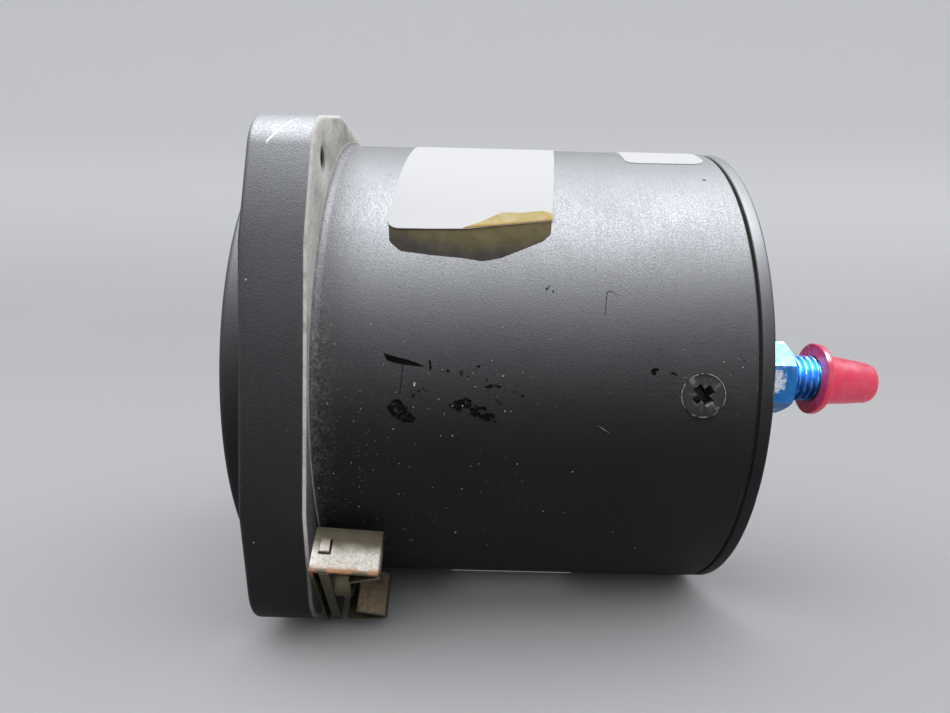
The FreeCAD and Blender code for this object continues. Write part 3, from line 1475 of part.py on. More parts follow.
def make_capsules():
    sheets = []
    hubs = []
    pair = int(s.capsule_pair.value)
    for number in range(pair):
        middle = capsule_front + capsule_step * number + s.capsule_depth / 2
        sheets.append(diaphragm(f"diaphragm_front_{number + 1}", middle, -1))
        sheets.append(diaphragm(f"diaphragm_rear_{number + 1}", middle, 1))
        if number:
            start = middle - s.capsule_depth / 2 - s.capsule_hub_height
            end = middle - s.capsule_depth / 2
            name = f"capsule_hub_{number}"
            hubs.append(tube(name, s.capsule_hub_radius, s.capsule_bore, start, end))
    group("aneroid_capsules", sheets)
    group("capsule_hubs", hubs)

    disc_front = rear_front - s.post_flange_thickness
    stud_end = rear_back + s.base_stud_past
    keep(
        turned(
            "capsule_base_stud",
            [
                (0, disc_front),
                (s.base_disc_radius, disc_front),
                (s.base_disc_radius, rear_front),
                (s.base_stud_radius, rear_front),
                (s.base_stud_radius, stud_end),
                (0, stud_end),
            ],
        )
    )

    nut = new_body("capsule_nut")
    outline = new_sketch(nut, "XZ_Plane", "capsule_nut_outline", z=-rear_back)
    corner = s.stud_nut_across_flats / (2 * cosine(30))
    points = around(as_size(6), as_size(0), corner)
    draw_outline(outline, points)
    draw_circle(outline, 0, 0, s.base_stud_radius + s.fastener_clearance)
    pad(nut, outline, "capsule_nut_blank", s.stud_nut_thickness)
    keep(nut)

    post = new_body("centre_post")
    profile = new_sketch(post, "XY_Plane", "centre_post_profile")
    draw_outline(
        profile,
        [
            (0, post_front),
            (s.post_radius, post_front),
            (s.post_radius, capsule_front - s.post_flange_thickness),
            (s.post_flange_radius, capsule_front - s.post_flange_thickness),
            (s.post_flange_radius, capsule_front),
            (0, capsule_front),
        ],
    )
    revolve(post, profile, "centre_post_turned")
    slot = new_sketch(post, "XY_Plane", "fork_slot_outline")
    draw_outline(
        slot,
        [
            (-s.fork_slot_half, post_front - 1),
            (s.fork_slot_half, post_front - 1),
            (s.fork_slot_half, post_front + s.fork_slot_depth),
            (-s.fork_slot_half, post_front + s.fork_slot_depth),
        ],
    )
    pocket(post, slot, "fork_slot", s.post_radius * 4, both_ways=True)
    hole = new_sketch(post, "YZ_Plane", "fork_pin_hole")
    draw_circle(hole, link_rear, 0, s.link_pin_radius + s.seat_clearance)
    pocket(post, hole, "fork_pin_bore", s.post_radius * 4, both_ways=True)
    keep(post)

    link = new_body("lift_link")
    outline = new_sketch(link, "YZ_Plane", "link_outline")
    wide = s.link_half_width
    draw_outline(
        outline,
        [
            (rocker_y - wide, -wide / 2),
            (rocker_y - wide / 2, -wide),
            (link_rear + wide / 2, -wide),
            (link_rear + wide, -wide / 2),
            (link_rear + wide, wide / 2),
            (link_rear + wide / 2, wide),
            (rocker_y - wide / 2, wide),
            (rocker_y - wide, wide / 2),
        ],
    )
    draw_circle(outline, rocker_y, 0, s.link_pin_radius + s.link_slack)
    draw_circle(outline, link_rear, 0, s.link_pin_radius + s.seat_clearance)
    pad(link, outline, "link_sheet", s.link_half_thickness * 2, both_ways=True)
    keep(link)

    half = s.post_radius + 0.2
    pin = rod("link_pin_rod", s.link_pin_radius, half * 2, -half, link_rear, 0, "+X")
    pin.Label = "link_pin"
    keep(pin)


# The rear cover


def make_rear_cover():
    body = new_body("rear_cover")
    profile = new_sketch(body, "XY_Plane", "cover_profile")
    inside = skirt_radius - s.skirt_wall
    draw_outline(
        profile,
        [
            (0, cover_inside),
            (inside, cover_inside),
            (inside, skirt_front),
            (skirt_radius, skirt_front),
            (skirt_radius, gasket_back),
            (cover_rim_radius, gasket_back),
            (cover_rim_radius, cover_back),
            (0, cover_back),
        ],
    )
    shell = revolve(body, profile, "cover_shell")
    edge = edges_where(shell, lambda item: is_circle(item, cover_rim_radius, cover_back))
    dress(body, "Chamfer", "cover_edge", shell, edge, s.cover_edge_chamfer)

    boss = new_sketch(body, "XZ_Plane", "inlet_boss_outline", z=-cover_back)
    draw_circle(boss, s.inlet_offset, inlet_z, s.inlet_boss_radius)
    pad(body, boss, "inlet_boss", s.inlet_boss_height)

    # The tapped hole follows the taper of the pipe thread
    hole = new_sketch(body, "XY_Plane", "inlet_hole_profile", x=s.inlet_offset, z=inlet_z)
    radius = s.pipe_thread_radius + s.pipe_clearance
    front = cover_inside - 1
    front_radius = radius - s.pipe_taper * (boss_back - front)
    back = boss_back + 1
    draw_outline(
        hole,
        [(0, front), (front_radius, front), (radius + s.pipe_taper, back), (0, back)],
    )
    revolve(body, hole, "inlet_hole", cut=True)

    tapping = new_sketch(body, "XY_Plane", "skirt_hole_profile", y=cover_screw_y, angle=s.cover_turn)
    draw_outline(
        tapping,
        [
            (inside - 1, 0),
            (inside - 1, s.screw_radius + s.fastener_clearance),
            (skirt_radius + 1, s.screw_radius + s.fastener_clearance),
            (skirt_radius + 1, 0),
        ],
    )
    tapped = revolve(body, tapping, "skirt_hole", axis="H_Axis", cut=True)
    polar(body, [tapped], "skirt_holes", s.cover_screw_count)
    keep(body)

    edge = s.barrel_radius - s.cover_gasket_inset
    keep(tube("cover_gasket", edge, bore_radius + 0.1, barrel_end, gasket_back))

    screws = []
    top = s.barrel_radius - s.screw_below
    for number in range(int(s.cover_screw_count.value)):
        body = new_body(f"cover_screw_{number + 1}")
        profile = new_sketch(body, "XY_Plane", f"cover_screw_{number + 1}_profile")
        draw_outline(
            profile,
            [
                (top - s.screw_length, 0),
                (top - s.screw_length, s.screw_radius),
                (top - s.screw_head_depth, s.screw_radius),
                (top, s.screw_head_radius),
                (top, 0),
            ],
        )
        revolve(body, profile, f"cover_screw_{number + 1}_turned", axis="H_Axis")
        place(body, y=cover_screw_y, angle=s.cover_turn + number * 360 / s.cover_screw_count)
        screws.append(body)
    group("cover_screws", screws)


# The pressure connection


def make_inlet():
    body = new_body("pressure_fitting")
    blank = new_sketch(body, "XZ_Plane", "hexagon_outline", z=-hex_front)
    corner = s.hex_across_flats / (2 * cosine(30))
    draw_outline(blank, around(as_size(6), s.hex_turn, corner))
    pad(body, blank, "hexagon", s.hex_length)

    profile = new_sketch(body, "XY_Plane", "fitting_profile")
    taper = s.pipe_taper
    thread = s.flare_thread_radius
    neck_end = hex_back + s.neck_length
    nose_start = flare_thread_end + 0.6
    draw_outline(
        profile,
        [
            (0, pipe_end),
            (s.pipe_thread_radius - taper * s.pipe_below, pipe_end),
            (s.pipe_thread_radius, boss_back),
            (s.pipe_thread_radius, hex_front + 1),
            (s.neck_radius, hex_front + 1),
            (s.neck_radius, neck_end),
            (thread, neck_end + thread - s.neck_radius),
            (thread, flare_thread_end),
            (s.flare_root_radius, nose_start),
            (s.flare_tip_radius, flare_thread_end + s.flare_nose_length),
            (0, flare_thread_end + s.flare_nose_length),
        ],
    )
    revolve(body, profile, "fitting_turned")

    # A shallow cone takes the sharp corners off both ends of the hexagon
    trim = new_sketch(body, "XY_Plane", "hexagon_trim")
    chamfer = s.hex_chamfer
    flat = s.hex_across_flats / 2
    far = corner + 1
    rise = (far - flat) * chamfer / (corner - flat)
    draw_outline(trim, [(flat, hex_back), (far, hex_back - rise), (far, hex_back + 1), (flat, hex_back + 1)])
    draw_outline(
        trim,
        [(flat, hex_front - 1), (far, hex_front - 1), (far, hex_front + rise), (flat, hex_front)],
    )
    revolve(body, trim, "hexagon_chamfers", cut=True)

    drilling = new_sketch(body, "XY_Plane", "passage_profile")
    step = pipe_end + s.restrictor_seat_depth
    draw_outline(
        drilling,
        [
            (0, pipe_end - 1),
            (s.restrictor_seat_radius, pipe_end - 1),
            (s.restrictor_seat_radius, step),
            (s.inlet_bore_radius, step),
            (s.inlet_bore_radius, flare_thread_end + s.flare_nose_length + 1),
            (0, flare_thread_end + s.flare_nose_length + 1),
        ],
    )
    revolve(body, drilling, "passage", cut=True)
    place(body, x=s.inlet_offset, z=inlet_z)
    keep(body)

    outer = s.restrictor_seat_radius - s.seat_clearance
    start = pipe_end + 0.4
    at_inlet = (s.inlet_offset, inlet_z)
    keep(tube("inlet_restrictor", outer, s.restrictor_bore_radius, start, step, *at_inlet))


def make_cap():
    """The tapered plastic cap, pushed on over the flare and sagging a little."""
    body = new_body("fitting_cap")
    profile = new_sketch(body, "XY_Plane", "cap_profile")
    mouth = s.flare_thread_radius + s.cap_clearance
    tip = s.cap_length - s.cap_end_round
    bottom = s.cap_length - s.cap_wall * 1.5
    slope = (s.cap_root_radius - s.cap_tip_radius) / (s.cap_length - s.cap_flange_thickness)
    throat = s.cap_root_radius - slope * (s.cap_grip_depth - s.cap_flange_thickness) - s.cap_wall
    draw_outline(
        profile,
        [
            (mouth, 0),
            (s.cap_flange_radius, 0),
            (s.cap_flange_radius, s.cap_flange_thickness),
            (s.cap_root_radius, s.cap_flange_thickness),
            (s.cap_tip_radius, tip),
            (s.cap_tip_radius - s.cap_end_round, s.cap_length),
            (0, s.cap_length),
            (0, bottom),
            (s.cap_tip_radius - s.cap_wall, bottom),
            (throat, s.cap_grip_depth),
            (mouth, s.cap_grip_depth),
        ],
    )
    revolve(body, profile, "cap_turned")
    place(body, s.inlet_offset, cap_front, inlet_z, axis=(1, 0, 0), angle=-s.cap_droop)
    keep(body)


# The clip nut, pushed on the flange's lower right ear to take a panel screw


def make_clip_nut():
    """The strip is drawn across the legs: its X runs to the upper leg, its Z to the axis."""
    depth, sheet = s.clip_depth, s.clip_sheet
    side = bolt_half_spacing
    taper = (s.clip_front_half - s.clip_rear_half) / depth
    ahead, across = cosine(s.clip_tongue_lean), sine(s.clip_tongue_lean)

    def leg_corners(shift):
        """Corners of half of the section, from the outer front corner round to the inner one."""
        front, rear = s.clip_front_half + shift, s.clip_rear_half + shift
        tip = (rear - s.clip_fold - s.clip_tongue * across, depth - s.clip_tongue * ahead)
        return [
            (front, 0),
            (rear, depth),
            (rear - s.clip_fold, depth),
            tip,
            (tip[0] + sheet * ahead, tip[1] - sheet * across),
            (rear - s.clip_fold + sheet * 1.2, depth - sheet),
            (rear + taper * sheet - sheet, depth - sheet),
            (front - taper * sheet - sheet, sheet),
        ]

    upper = leg_corners(s.clip_shift)
    lower = [(-x, y) for x, y in leg_corners(-s.clip_shift)]
    clip = new_body("clip_nut_cage")
    outline = new_sketch(clip, "XY_Plane", "clip_section")
    draw_outline(outline, upper + lower[::-1])
    strip = pad(clip, outline, "clip_strip", s.clip_width, both_ways=True)

    def at_bend(edge):
        box = edge.BoundBox
        along = box.XLength < 1e-6 and box.YLength < 1e-6
        return along and abs(box.YMin - depth.value) < 1e-6

    dress(clip, "Fillet", "clip_bends", strip, edges_where(strip, at_bend), s.clip_bend)

    screw_hole = new_sketch(clip, "XZ_Plane", "clip_hole")
    draw_circle(screw_hole, 0, 0, s.clip_hole_radius)
    pocket(clip, screw_hole, "clip_screw_hole", sheet * 2, both_ways=True)

    clear = s.tab_clearance
    slot_front = s.nut_offset - clear
    slot_back = s.nut_offset + s.nut_thickness + clear
    upper_leg = s.clip_front_half + s.clip_shift - taper * slot_back
    lower_leg = s.clip_front_half - s.clip_shift - taper * slot_back
    slots = new_sketch(clip, "YZ_Plane", "upper_slot", z=upper_leg)
    draw_outline(
        slots,
        [
            (slot_front, s.tab_low - clear),
            (slot_back, s.tab_low - clear),
            (slot_back, s.tab_high + clear),
            (slot_front, s.tab_high + clear),
        ],
    )
    pocket(clip, slots, "upper_tab_slot", sheet * 4, both_ways=True)

    # The lower leg has an open notch, a little deeper than the nut plate's tab
    notch = new_sketch(clip, "YZ_Plane", "lower_notch", z=-lower_leg)
    notch_back = slot_back + 1
    draw_outline(
        notch,
        [
            (slot_front, -s.clip_width),
            (notch_back, -s.clip_width),
            (notch_back, s.tab_high - 1),
            (slot_front, s.tab_high - 1),
        ],
    )
    pocket(clip, notch, "lower_tab_notch", sheet * 4, both_ways=True)
    place(clip, side, flange_back, -side, angle=-s.clip_turn)
    keep(clip)

    nut = new_body("clip_nut_plate")
    plate = new_sketch(nut, "XZ_Plane", "nut_plate_outline", z=-s.nut_offset)
    upper_end = upper_leg - sheet - s.nut_end_gap
    lower_end = lower_leg - sheet - s.nut_end_gap
    wide = s.nut_half_width
    upper_tab_end = s.clip_front_half + s.clip_shift + s.tab_past
    lower_tab_end = s.clip_front_half - s.clip_shift + s.tab_past
    lower_tab_high = s.tab_high - 1 - clear
    draw_outline(
        plate,
        [
            (upper_end, -wide),
            (upper_end, s.tab_low),
            (upper_tab_end, s.tab_low),
            (upper_tab_end, s.tab_high),
            (upper_end, s.tab_high),
            (upper_end, wide),
            (-lower_end, wide),
            (-lower_end, lower_tab_high),
            (-lower_tab_end, lower_tab_high),
            (-lower_tab_end, -wide),
        ],
    )
    pad(nut, plate, "nut_plate_sheet", s.nut_thickness)
    collar = new_sketch(nut, "XZ_Plane", "nut_collar_outline", z=-s.nut_offset)
    draw_circle(collar, 0, 0, s.nut_collar_radius)
    pad(nut, collar, "nut_collar", s.nut_thickness + s.nut_collar_length)
    thread = new_sketch(nut, "XZ_Plane", "nut_thread_outline", z=-s.nut_offset)
    draw_circle(thread, 0, 0, s.nut_thread_radius)
    pocket(nut, thread, "nut_thread", s.nut_thickness + s.nut_collar_length)
    place(nut, side, flange_back, -side, angle=-s.clip_turn)
    keep(nut)


def check_document():
    """Stops if anything in the document failed or a piece is not a sound solid."""
    doc.recompute()
    for item in doc.Objects:
        if "Invalid" in item.State or "Error" in item.State:
            raise RuntimeError(f"{item.Name} did not recompute: {item.State}")
    for piece in PIECES:
        if piece.Shape.isNull() or not piece.Shape.isValid() or not piece.Shape.Solids:
            raise RuntimeError(f"{piece.Label} is not a sound solid")


def write_pieces():
    os.makedirs("parts", exist_ok=True)
    for piece in PIECES:
        piece.Shape.exportStep(os.path.join("parts", f"{piece.Label}.step"))
        solids = piece.Shape.Solids
        volume = sum(solid.Volume for solid in solids)
        print(f"{piece.Label:22s} {len(solids)} solids {volume:10.2f} mm3")


make_case()
make_window()
make_dial()
make_pointer()
make_plates()
make_pillars()
make_bearings()
make_pinion()
make_sector()
make_hairspring()
make_rocker()
make_brackets()
make_capsules()
make_rear_cover()
make_inlet()
make_cap()
make_clip_nut()
check_document()
write_pieces()
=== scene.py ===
import json
import math
import random

import bmesh
import bpy
from bpy.props import FloatProperty, FloatVectorProperty, IntProperty, PointerProperty
from mathutils import Matrix, Vector, noise

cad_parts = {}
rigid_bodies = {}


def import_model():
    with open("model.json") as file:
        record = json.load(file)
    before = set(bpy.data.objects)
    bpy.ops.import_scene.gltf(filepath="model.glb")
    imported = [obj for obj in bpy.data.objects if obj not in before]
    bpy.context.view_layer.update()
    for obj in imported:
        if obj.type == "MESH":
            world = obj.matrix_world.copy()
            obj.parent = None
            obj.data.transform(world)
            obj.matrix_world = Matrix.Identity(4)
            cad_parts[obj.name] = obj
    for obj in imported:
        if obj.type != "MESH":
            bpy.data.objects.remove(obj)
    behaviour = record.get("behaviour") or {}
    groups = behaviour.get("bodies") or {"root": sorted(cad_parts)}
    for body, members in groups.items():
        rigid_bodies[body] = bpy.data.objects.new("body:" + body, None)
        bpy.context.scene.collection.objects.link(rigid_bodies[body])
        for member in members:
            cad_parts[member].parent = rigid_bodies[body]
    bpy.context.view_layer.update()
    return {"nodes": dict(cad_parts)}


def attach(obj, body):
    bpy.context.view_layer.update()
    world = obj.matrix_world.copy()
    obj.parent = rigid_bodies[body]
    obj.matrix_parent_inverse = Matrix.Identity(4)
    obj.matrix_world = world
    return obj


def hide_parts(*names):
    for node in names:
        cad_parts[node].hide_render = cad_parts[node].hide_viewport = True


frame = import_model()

bl_info = {
    "name": "Manifold Pressure Gauge",
    "version": (1, 0, 0),
    "blender": (4, 5, 0),
    "location": "View3D > Sidebar > Gauge",
    "description": "Builds the outside and the finishes of a 3-1/8 inch manifold pressure gauge",
    "category": "Object",
}

# All shapes are drawn in millimetres in the gauge's own frame: +Y to the rear, +Z up.
MM = 0.001
HALF_FLANGE = 41.275
FLANGE_BACK = 9.4
BOLT = 31.4325  # from the axis to the bolt holes, across and up
BOLT_HOLE = 1.95
BARREL = 39.65
BARREL_END = 71.4
PER_DEGREE = math.radians(1) * BARREL
COVER = 39.6
COVER_BACK = 73.8
INLET = (14.28, -0.7)
SCREW_PLACE = 63.9
SCREW_TURN = -1.25
DIAL_FACE = 8.18
# How far the things that lie on the barrel stand off it
LABEL_LIFT = 0.02
LABEL_SHADOW_LIFT = 0.005
SMEAR_LIFT = 0.012
SCRATCH_LIFT = 0.01
FLAKE_LIFT = 0.02
SHEEN_PIECES = (
    "case_flange", "case_barrel", "cover", "cap_shell", "cover_screw_1", "cover_screw_2",
    "cover_screw_3", "fitting_hexagon", "fitting_core",
)


# Mesh helpers


def rounded_profile(corners, steps=5):
    """Turns (radius, place, rounding) corners of a closed profile into points with arcs."""
    points = []
    count = len(corners)
    for number, corner in enumerate(corners):
        here = Vector(corner[:2])
        rounding = corner[2] if len(corner) > 2 else 0
        if rounding <= 0:
            points.append(here)
            continue
        before = Vector(corners[number - 1][:2]) - here
        after = Vector(corners[(number + 1) % count][:2]) - here
        half = before.angle(after) / 2
        reach = rounding / math.tan(half)
        reach = min(reach, before.length * 0.49, after.length * 0.49)
        start = here + before.normalized() * reach
        end = here + after.normalized() * reach
        middle = (before.normalized() + after.normalized()).normalized()
        radius = reach * math.tan(half)
        centre = here + middle * (radius / math.sin(half))
        first = start - centre
        turn = first.angle_signed(end - centre)
        for step in range(steps + 1):
            spot = first.copy()
            spot.rotate(Matrix.Rotation(-turn * step / steps, 2))
            points.append(centre + spot)
    return points


def around(reach, turn, place, centre=(0, 0)):
    """The point at a reach and an angle, in radians, from a line along Y."""
    return (centre[0] + reach * math.cos(turn), place, centre[1] + reach * math.sin(turn))


def join_rings(mesh, rings, closed=True):
    """Adds the faces between rings, or open rows, of one length."""
    for low, high in zip(rings, rings[1:]):
        for number in range(len(low) if closed else len(low) - 1):
            following = (number + 1) % len(low)
            mesh.faces.new((low[number], low[following], high[following], high[number]))


def add_turned(mesh, profile, segments=160, centre=(0, 0), start=0.0, sweep=360.0, closed=True):
    """Turns a profile of (radius, place) points about a line along Y and adds it to the mesh."""
    whole = abs(sweep - 360) < 1e-6
    columns = segments if whole else segments + 1
    turns = [math.radians(start + sweep * column / segments) for column in range(columns)]
    rings = []
    for radius, place in profile:
        if radius < 1e-6:
            spots = [(centre[0], place, centre[1])]
        else:
            spots = [around(radius, turn, place, centre) for turn in turns]
        rings.append([mesh.verts.new(spot) for spot in spots])
    pairs = list(zip(rings, rings[1:]))
    if closed:
        pairs.append((rings[-1], rings[0]))
    for low, high in pairs:
        if len(low) == 1 and len(high) == 1:
            continue
        for column in range(segments):
            following = (column + 1) % columns
            corners = []
            for ring, spots in ((low, (column, following)), (high, (following, column))):
                corners += [ring[0]] if len(ring) == 1 else [ring[spot] for spot in spots]
            mesh.faces.new(corners)
    if not whole:
        for column in (0, -1):
            mesh.faces.new([ring[column] for ring in rings])
    bmesh.ops.recalc_face_normals(mesh, faces=mesh.faces)


def offset_outline(points, distance):
    """Moves a closed convex outline inwards by a distance."""
    moved = []
    count = len(points)
    for number, point in enumerate(points):
        before = (point - points[number - 1]).normalized()
        after = (points[(number + 1) % count] - point).normalized()
        normal = Vector((-before.y, before.x)) + Vector((-after.y, after.x))
        normal.normalize()
        lean = max(0.3, normal.dot(Vector((-before.y, before.x))))
        moved.append(point + normal * distance / lean)
    return moved


def add_plate(mesh, outline, front, back, rounding, holes, steps=4, hole_edge=0.4):
    """A flat plate across Y with rounded outer edges and round holes of (x, z, radius)."""
    rings = []
    for side in (0, 1):
        for step in range(steps + 1):
            angle = math.pi / 2 * (step / steps if side else 1 - step / steps)
            depth = rounding * (1 - math.sin(angle))
            place = back - depth if side else front + depth
            edge = offset_outline(outline, rounding * (1 - math.cos(angle)))
            rings.append([mesh.verts.new((point.x, place, point.y)) for point in edge])
    join_rings(mesh, rings)
    caps = ([rings[0]], [rings[-1]])
    inside = (hole_edge, front), (0, front + hole_edge), (0, back - hole_edge), (hole_edge, back)
    for x, z, radius in holes:
        segments = 128 if radius > 10 else 48
        turns = [2 * math.pi * number / segments for number in range(segments)]
        walls = []
        for grow, place in inside:
            spots = [around(radius + grow, turn, place, (x, z)) for turn in turns]
            walls.append([mesh.verts.new(spot) for spot in spots])
        join_rings(mesh, walls)
        caps[0].append(walls[0])
        caps[1].append(walls[-1])
    for cap in caps:
        edges = []
        for ring in cap:
            for number, vertex in enumerate(ring):
                pair = (vertex, ring[(number + 1) % len(ring)])
                edges.append(mesh.edges.get(pair) or mesh.edges.new(pair))
        bmesh.ops.triangle_fill(mesh, use_beauty=True, edges=edges)
    bmesh.ops.recalc_face_normals(mesh, faces=mesh.faces)


def arc_points(centre, radius, first, last, steps):
    """Points on an arc, angles in degrees."""
    points = []
    for step in range(steps + 1):
        turn = math.radians(first + (last - first) * step / steps)
        x, _, z = around(radius, turn, 0, centre)
        points.append(Vector((x, z)))
    return points


def add_thread(mesh, centre, radius, root, pitch, start, end, segments=72, rows_a_turn=10):
    """A screw thread along Y, with crests that fade out at both ends."""
    rows = int((end - start) / pitch * rows_a_turn)
    rings = []
    for row in range(rows + 1):
        place = start + (end - start) * row / rows
        fade = max(0.0, min(1.0, (place - start) / pitch, (end - place) / pitch))
        ring = []
        for column in range(segments):
            # A wave that is cut off at both ends, so crests and roots are flat
            wave = abs((place / pitch - column / segments) % 1.0 * 2 - 1)
            crest = min(1.0, max(0.0, wave * 1.35 - 0.175))
            reach = root + (radius - root) * crest * fade
            turn = 2 * math.pi * column / segments
            ring.append(mesh.verts.new(around(reach, turn, place, centre)))
        rings.append(ring)
    join_rings(mesh, rings)
    mesh.faces.new(rings[0])
    mesh.faces.new(rings[-1])
    bmesh.ops.recalc_face_normals(mesh, faces=mesh.faces)


def make_piece(name, mesh, body=None, finish=None, sharp=35, place=None):
    """Turns a drawn mesh, in millimetres, into a piece that rides on a body."""
    data = bpy.data.meshes.new(name)
    mesh.to_mesh(data)
    mesh.free()
    if place is not None:
        data.transform(place)
    data.transform(Matrix.Scale(MM, 4))
    data.shade_smooth()
    data.set_sharp_from_angle(angle=math.radians(sharp))
    piece = bpy.data.objects.new(name, data)
    bpy.context.scene.collection.objects.link(piece)
    if finish is not None:
        data.materials.append(finish)
    if body is not None:
        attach(piece, body)
    return piece


def cut_piece(piece, cutter, operation="DIFFERENCE", sharp=35):
    """Applies one boolean with another drawn object, which is then deleted."""
    step = piece.modifiers.new("cut", "BOOLEAN")
    step.operation = operation
    step.solver = "EXACT"
    step.object = cutter
    bpy.context.view_layer.update()
    depsgraph = bpy.context.evaluated_depsgraph_get()
    data = bpy.data.meshes.new_from_object(piece.evaluated_get(depsgraph))
    piece.modifiers.remove(step)
    if not len(data.polygons):
        raise RuntimeError(f"the cut on {piece.name} left nothing")
    data.name = piece.name
    piece.data = data
    bpy.data.objects.remove(cutter)
    data.shade_smooth()
    data.set_sharp_from_angle(angle=math.radians(sharp))


def turned_normals(piece, radius):
    """Gives the barrel's faces the normals of a true cylinder."""
    data = piece.data
    normals = [corner.vector.copy() for corner in data.corner_normals]
    for face in data.polygons:
        spots = [data.vertices[number].co for number in face.vertices]
        if all(abs(math.hypot(spot.x, spot.z) - radius * MM) < 2e-6 for spot in spots):
            for loop in face.loop_indices:
                spot = data.vertices[data.loops[loop].vertex_index].co
                normals[loop] = Vector((spot.x, 0, spot.z)).normalized()
    data.normals_split_custom_set(normals)


def add_wrapped(mesh, outline, radius, thickness, lift=None, cell=1.0):
    """A sheet cut to an outline of (place, angle) corners and laid round the barrel."""
    flat = bmesh.new()
    flat.faces.new([flat.verts.new((place, angle, 0)) for place, angle in outline])
    flat.normal_update()
    for axis, step in ((0, cell), (1, cell / (math.radians(1) * radius))):
        low, high = min(spot[axis] for spot in outline), max(spot[axis] for spot in outline)
        for number in range(1, int((high - low) / step) + 1):
            spot, normal = [0, 0, 0], [0, 0, 0]
            spot[axis], normal[axis] = low + step * number, 1
            geometry = flat.verts[:] + flat.edges[:] + flat.faces[:]
            bmesh.ops.bisect_plane(flat, geom=geometry, plane_co=spot, plane_no=normal)
    flat.verts.index_update()
    layers = []
    for level in (0, 1):
        layer = []
        for vertex in flat.verts:
            place, angle = vertex.co.x, vertex.co.y
            reach = radius + thickness * level + (lift(place, angle) if lift else 0)
            layer.append(mesh.verts.new(around(reach, math.radians(angle), place)))
        layers.append(layer)
    for face in flat.faces:
        numbers = [vertex.index for vertex in face.verts]
        mesh.faces.new([layers[1][number] for number in numbers])
        mesh.faces.new([layers[0][number] for number in reversed(numbers)])
    for edge in flat.edges:
        if edge.is_boundary:
            first, last = (vertex.index for vertex in edge.verts)
            corners = (layers[0][first], layers[0][last], layers[1][last], layers[1][first])
            mesh.faces.new(corners)
    flat.free()
    bmesh.ops.recalc_face_normals(mesh, faces=mesh.faces)


def lifted_edge(place, angle):
    """How far the front label stands off the barrel along its lower edge."""
    return 0.22 * max(0.0, 1 - (angle - 32.6) / 3.5) ** 2


def turned_up(place, angle):
    """How far the label's folded corner stands off the label under it."""
    share = min(1.0, max(0.0, (place - 31.5) / 6))
    return lifted_edge(place, angle) + 0.03 + 0.25 * share * max(0.0, (angle - 35) / 3.3)


def inside_outline(outline, x, y):
    """True where a point lies inside a closed outline."""
    inside = False
    for number, (x1, y1) in enumerate(outline):
        x0, y0 = outline[number - 1]
        if (y0 > y) != (y1 > y) and x < x0 + (x1 - x0) * (y - y0) / (y1 - y0):
            inside = not inside
    return inside


def add_smear(mesh, outline, cell, keep, seed=0.0):
    """A granular patch on the barrel: the small squares of an outline that noise keeps."""
    flat = [(place, angle * PER_DEGREE) for place, angle in outline]
    (low_x, high_x), (low_y, high_y) = ((min(side), max(side)) for side in zip(*flat))
    for row in range(int((high_y - low_y) / cell) + 1):
        for column in range(int((high_x - low_x) / cell) + 1):
            x, y = low_x + (column + 0.5) * cell, low_y + (row + 0.5) * cell
            coarse = noise.noise(Vector((x * 1.7, y * 1.7, seed)))
            fine = noise.noise(Vector((x * 4.5, y * 4.5, seed + 7)))
            if coarse + 0.6 * fine > keep or not inside_outline(flat, x, y):
                continue
            corners = []
            for step_x, step_y in ((-0.5, -0.5), (0.5, -0.5), (0.5, 0.5), (-0.5, 0.5)):
                turn = (y + step_y * cell) / BARREL
                spot = around(BARREL + SMEAR_LIFT, turn, x + step_x * cell)
                corners.append(mesh.verts.new(spot))
            mesh.faces.new(corners)
    bmesh.ops.remove_doubles(mesh, verts=mesh.verts, dist=cell * 0.01)


def add_flake(mesh, place, angle, size, turn, stretch=1.0):
    """One six-sided flake of dust lying on the barrel."""
    corners = []
    for corner in range(6):
        spin = math.radians(60 * corner)
        along, across = size * stretch * math.cos(spin), size * math.sin(spin)
        x = place + along * math.cos(turn) - across * math.sin(turn)
        length = along * math.sin(turn) + across * math.cos(turn)
        spot = around(BARREL + FLAKE_LIFT, math.radians(angle) + length / BARREL, x)
        corners.append(mesh.verts.new(spot))
    mesh.faces.new(corners)


def rounded_outline(corners, steps=6):
    """Rounds the corners of an outline of (place, angle, rounding in millimetres)."""
    scaled = [(place, angle * PER_DEGREE, rounding) for place, angle, rounding in corners]
    return [(point.x, point.y / PER_DEGREE) for point in rounded_profile(scaled, steps)]


# Finishes


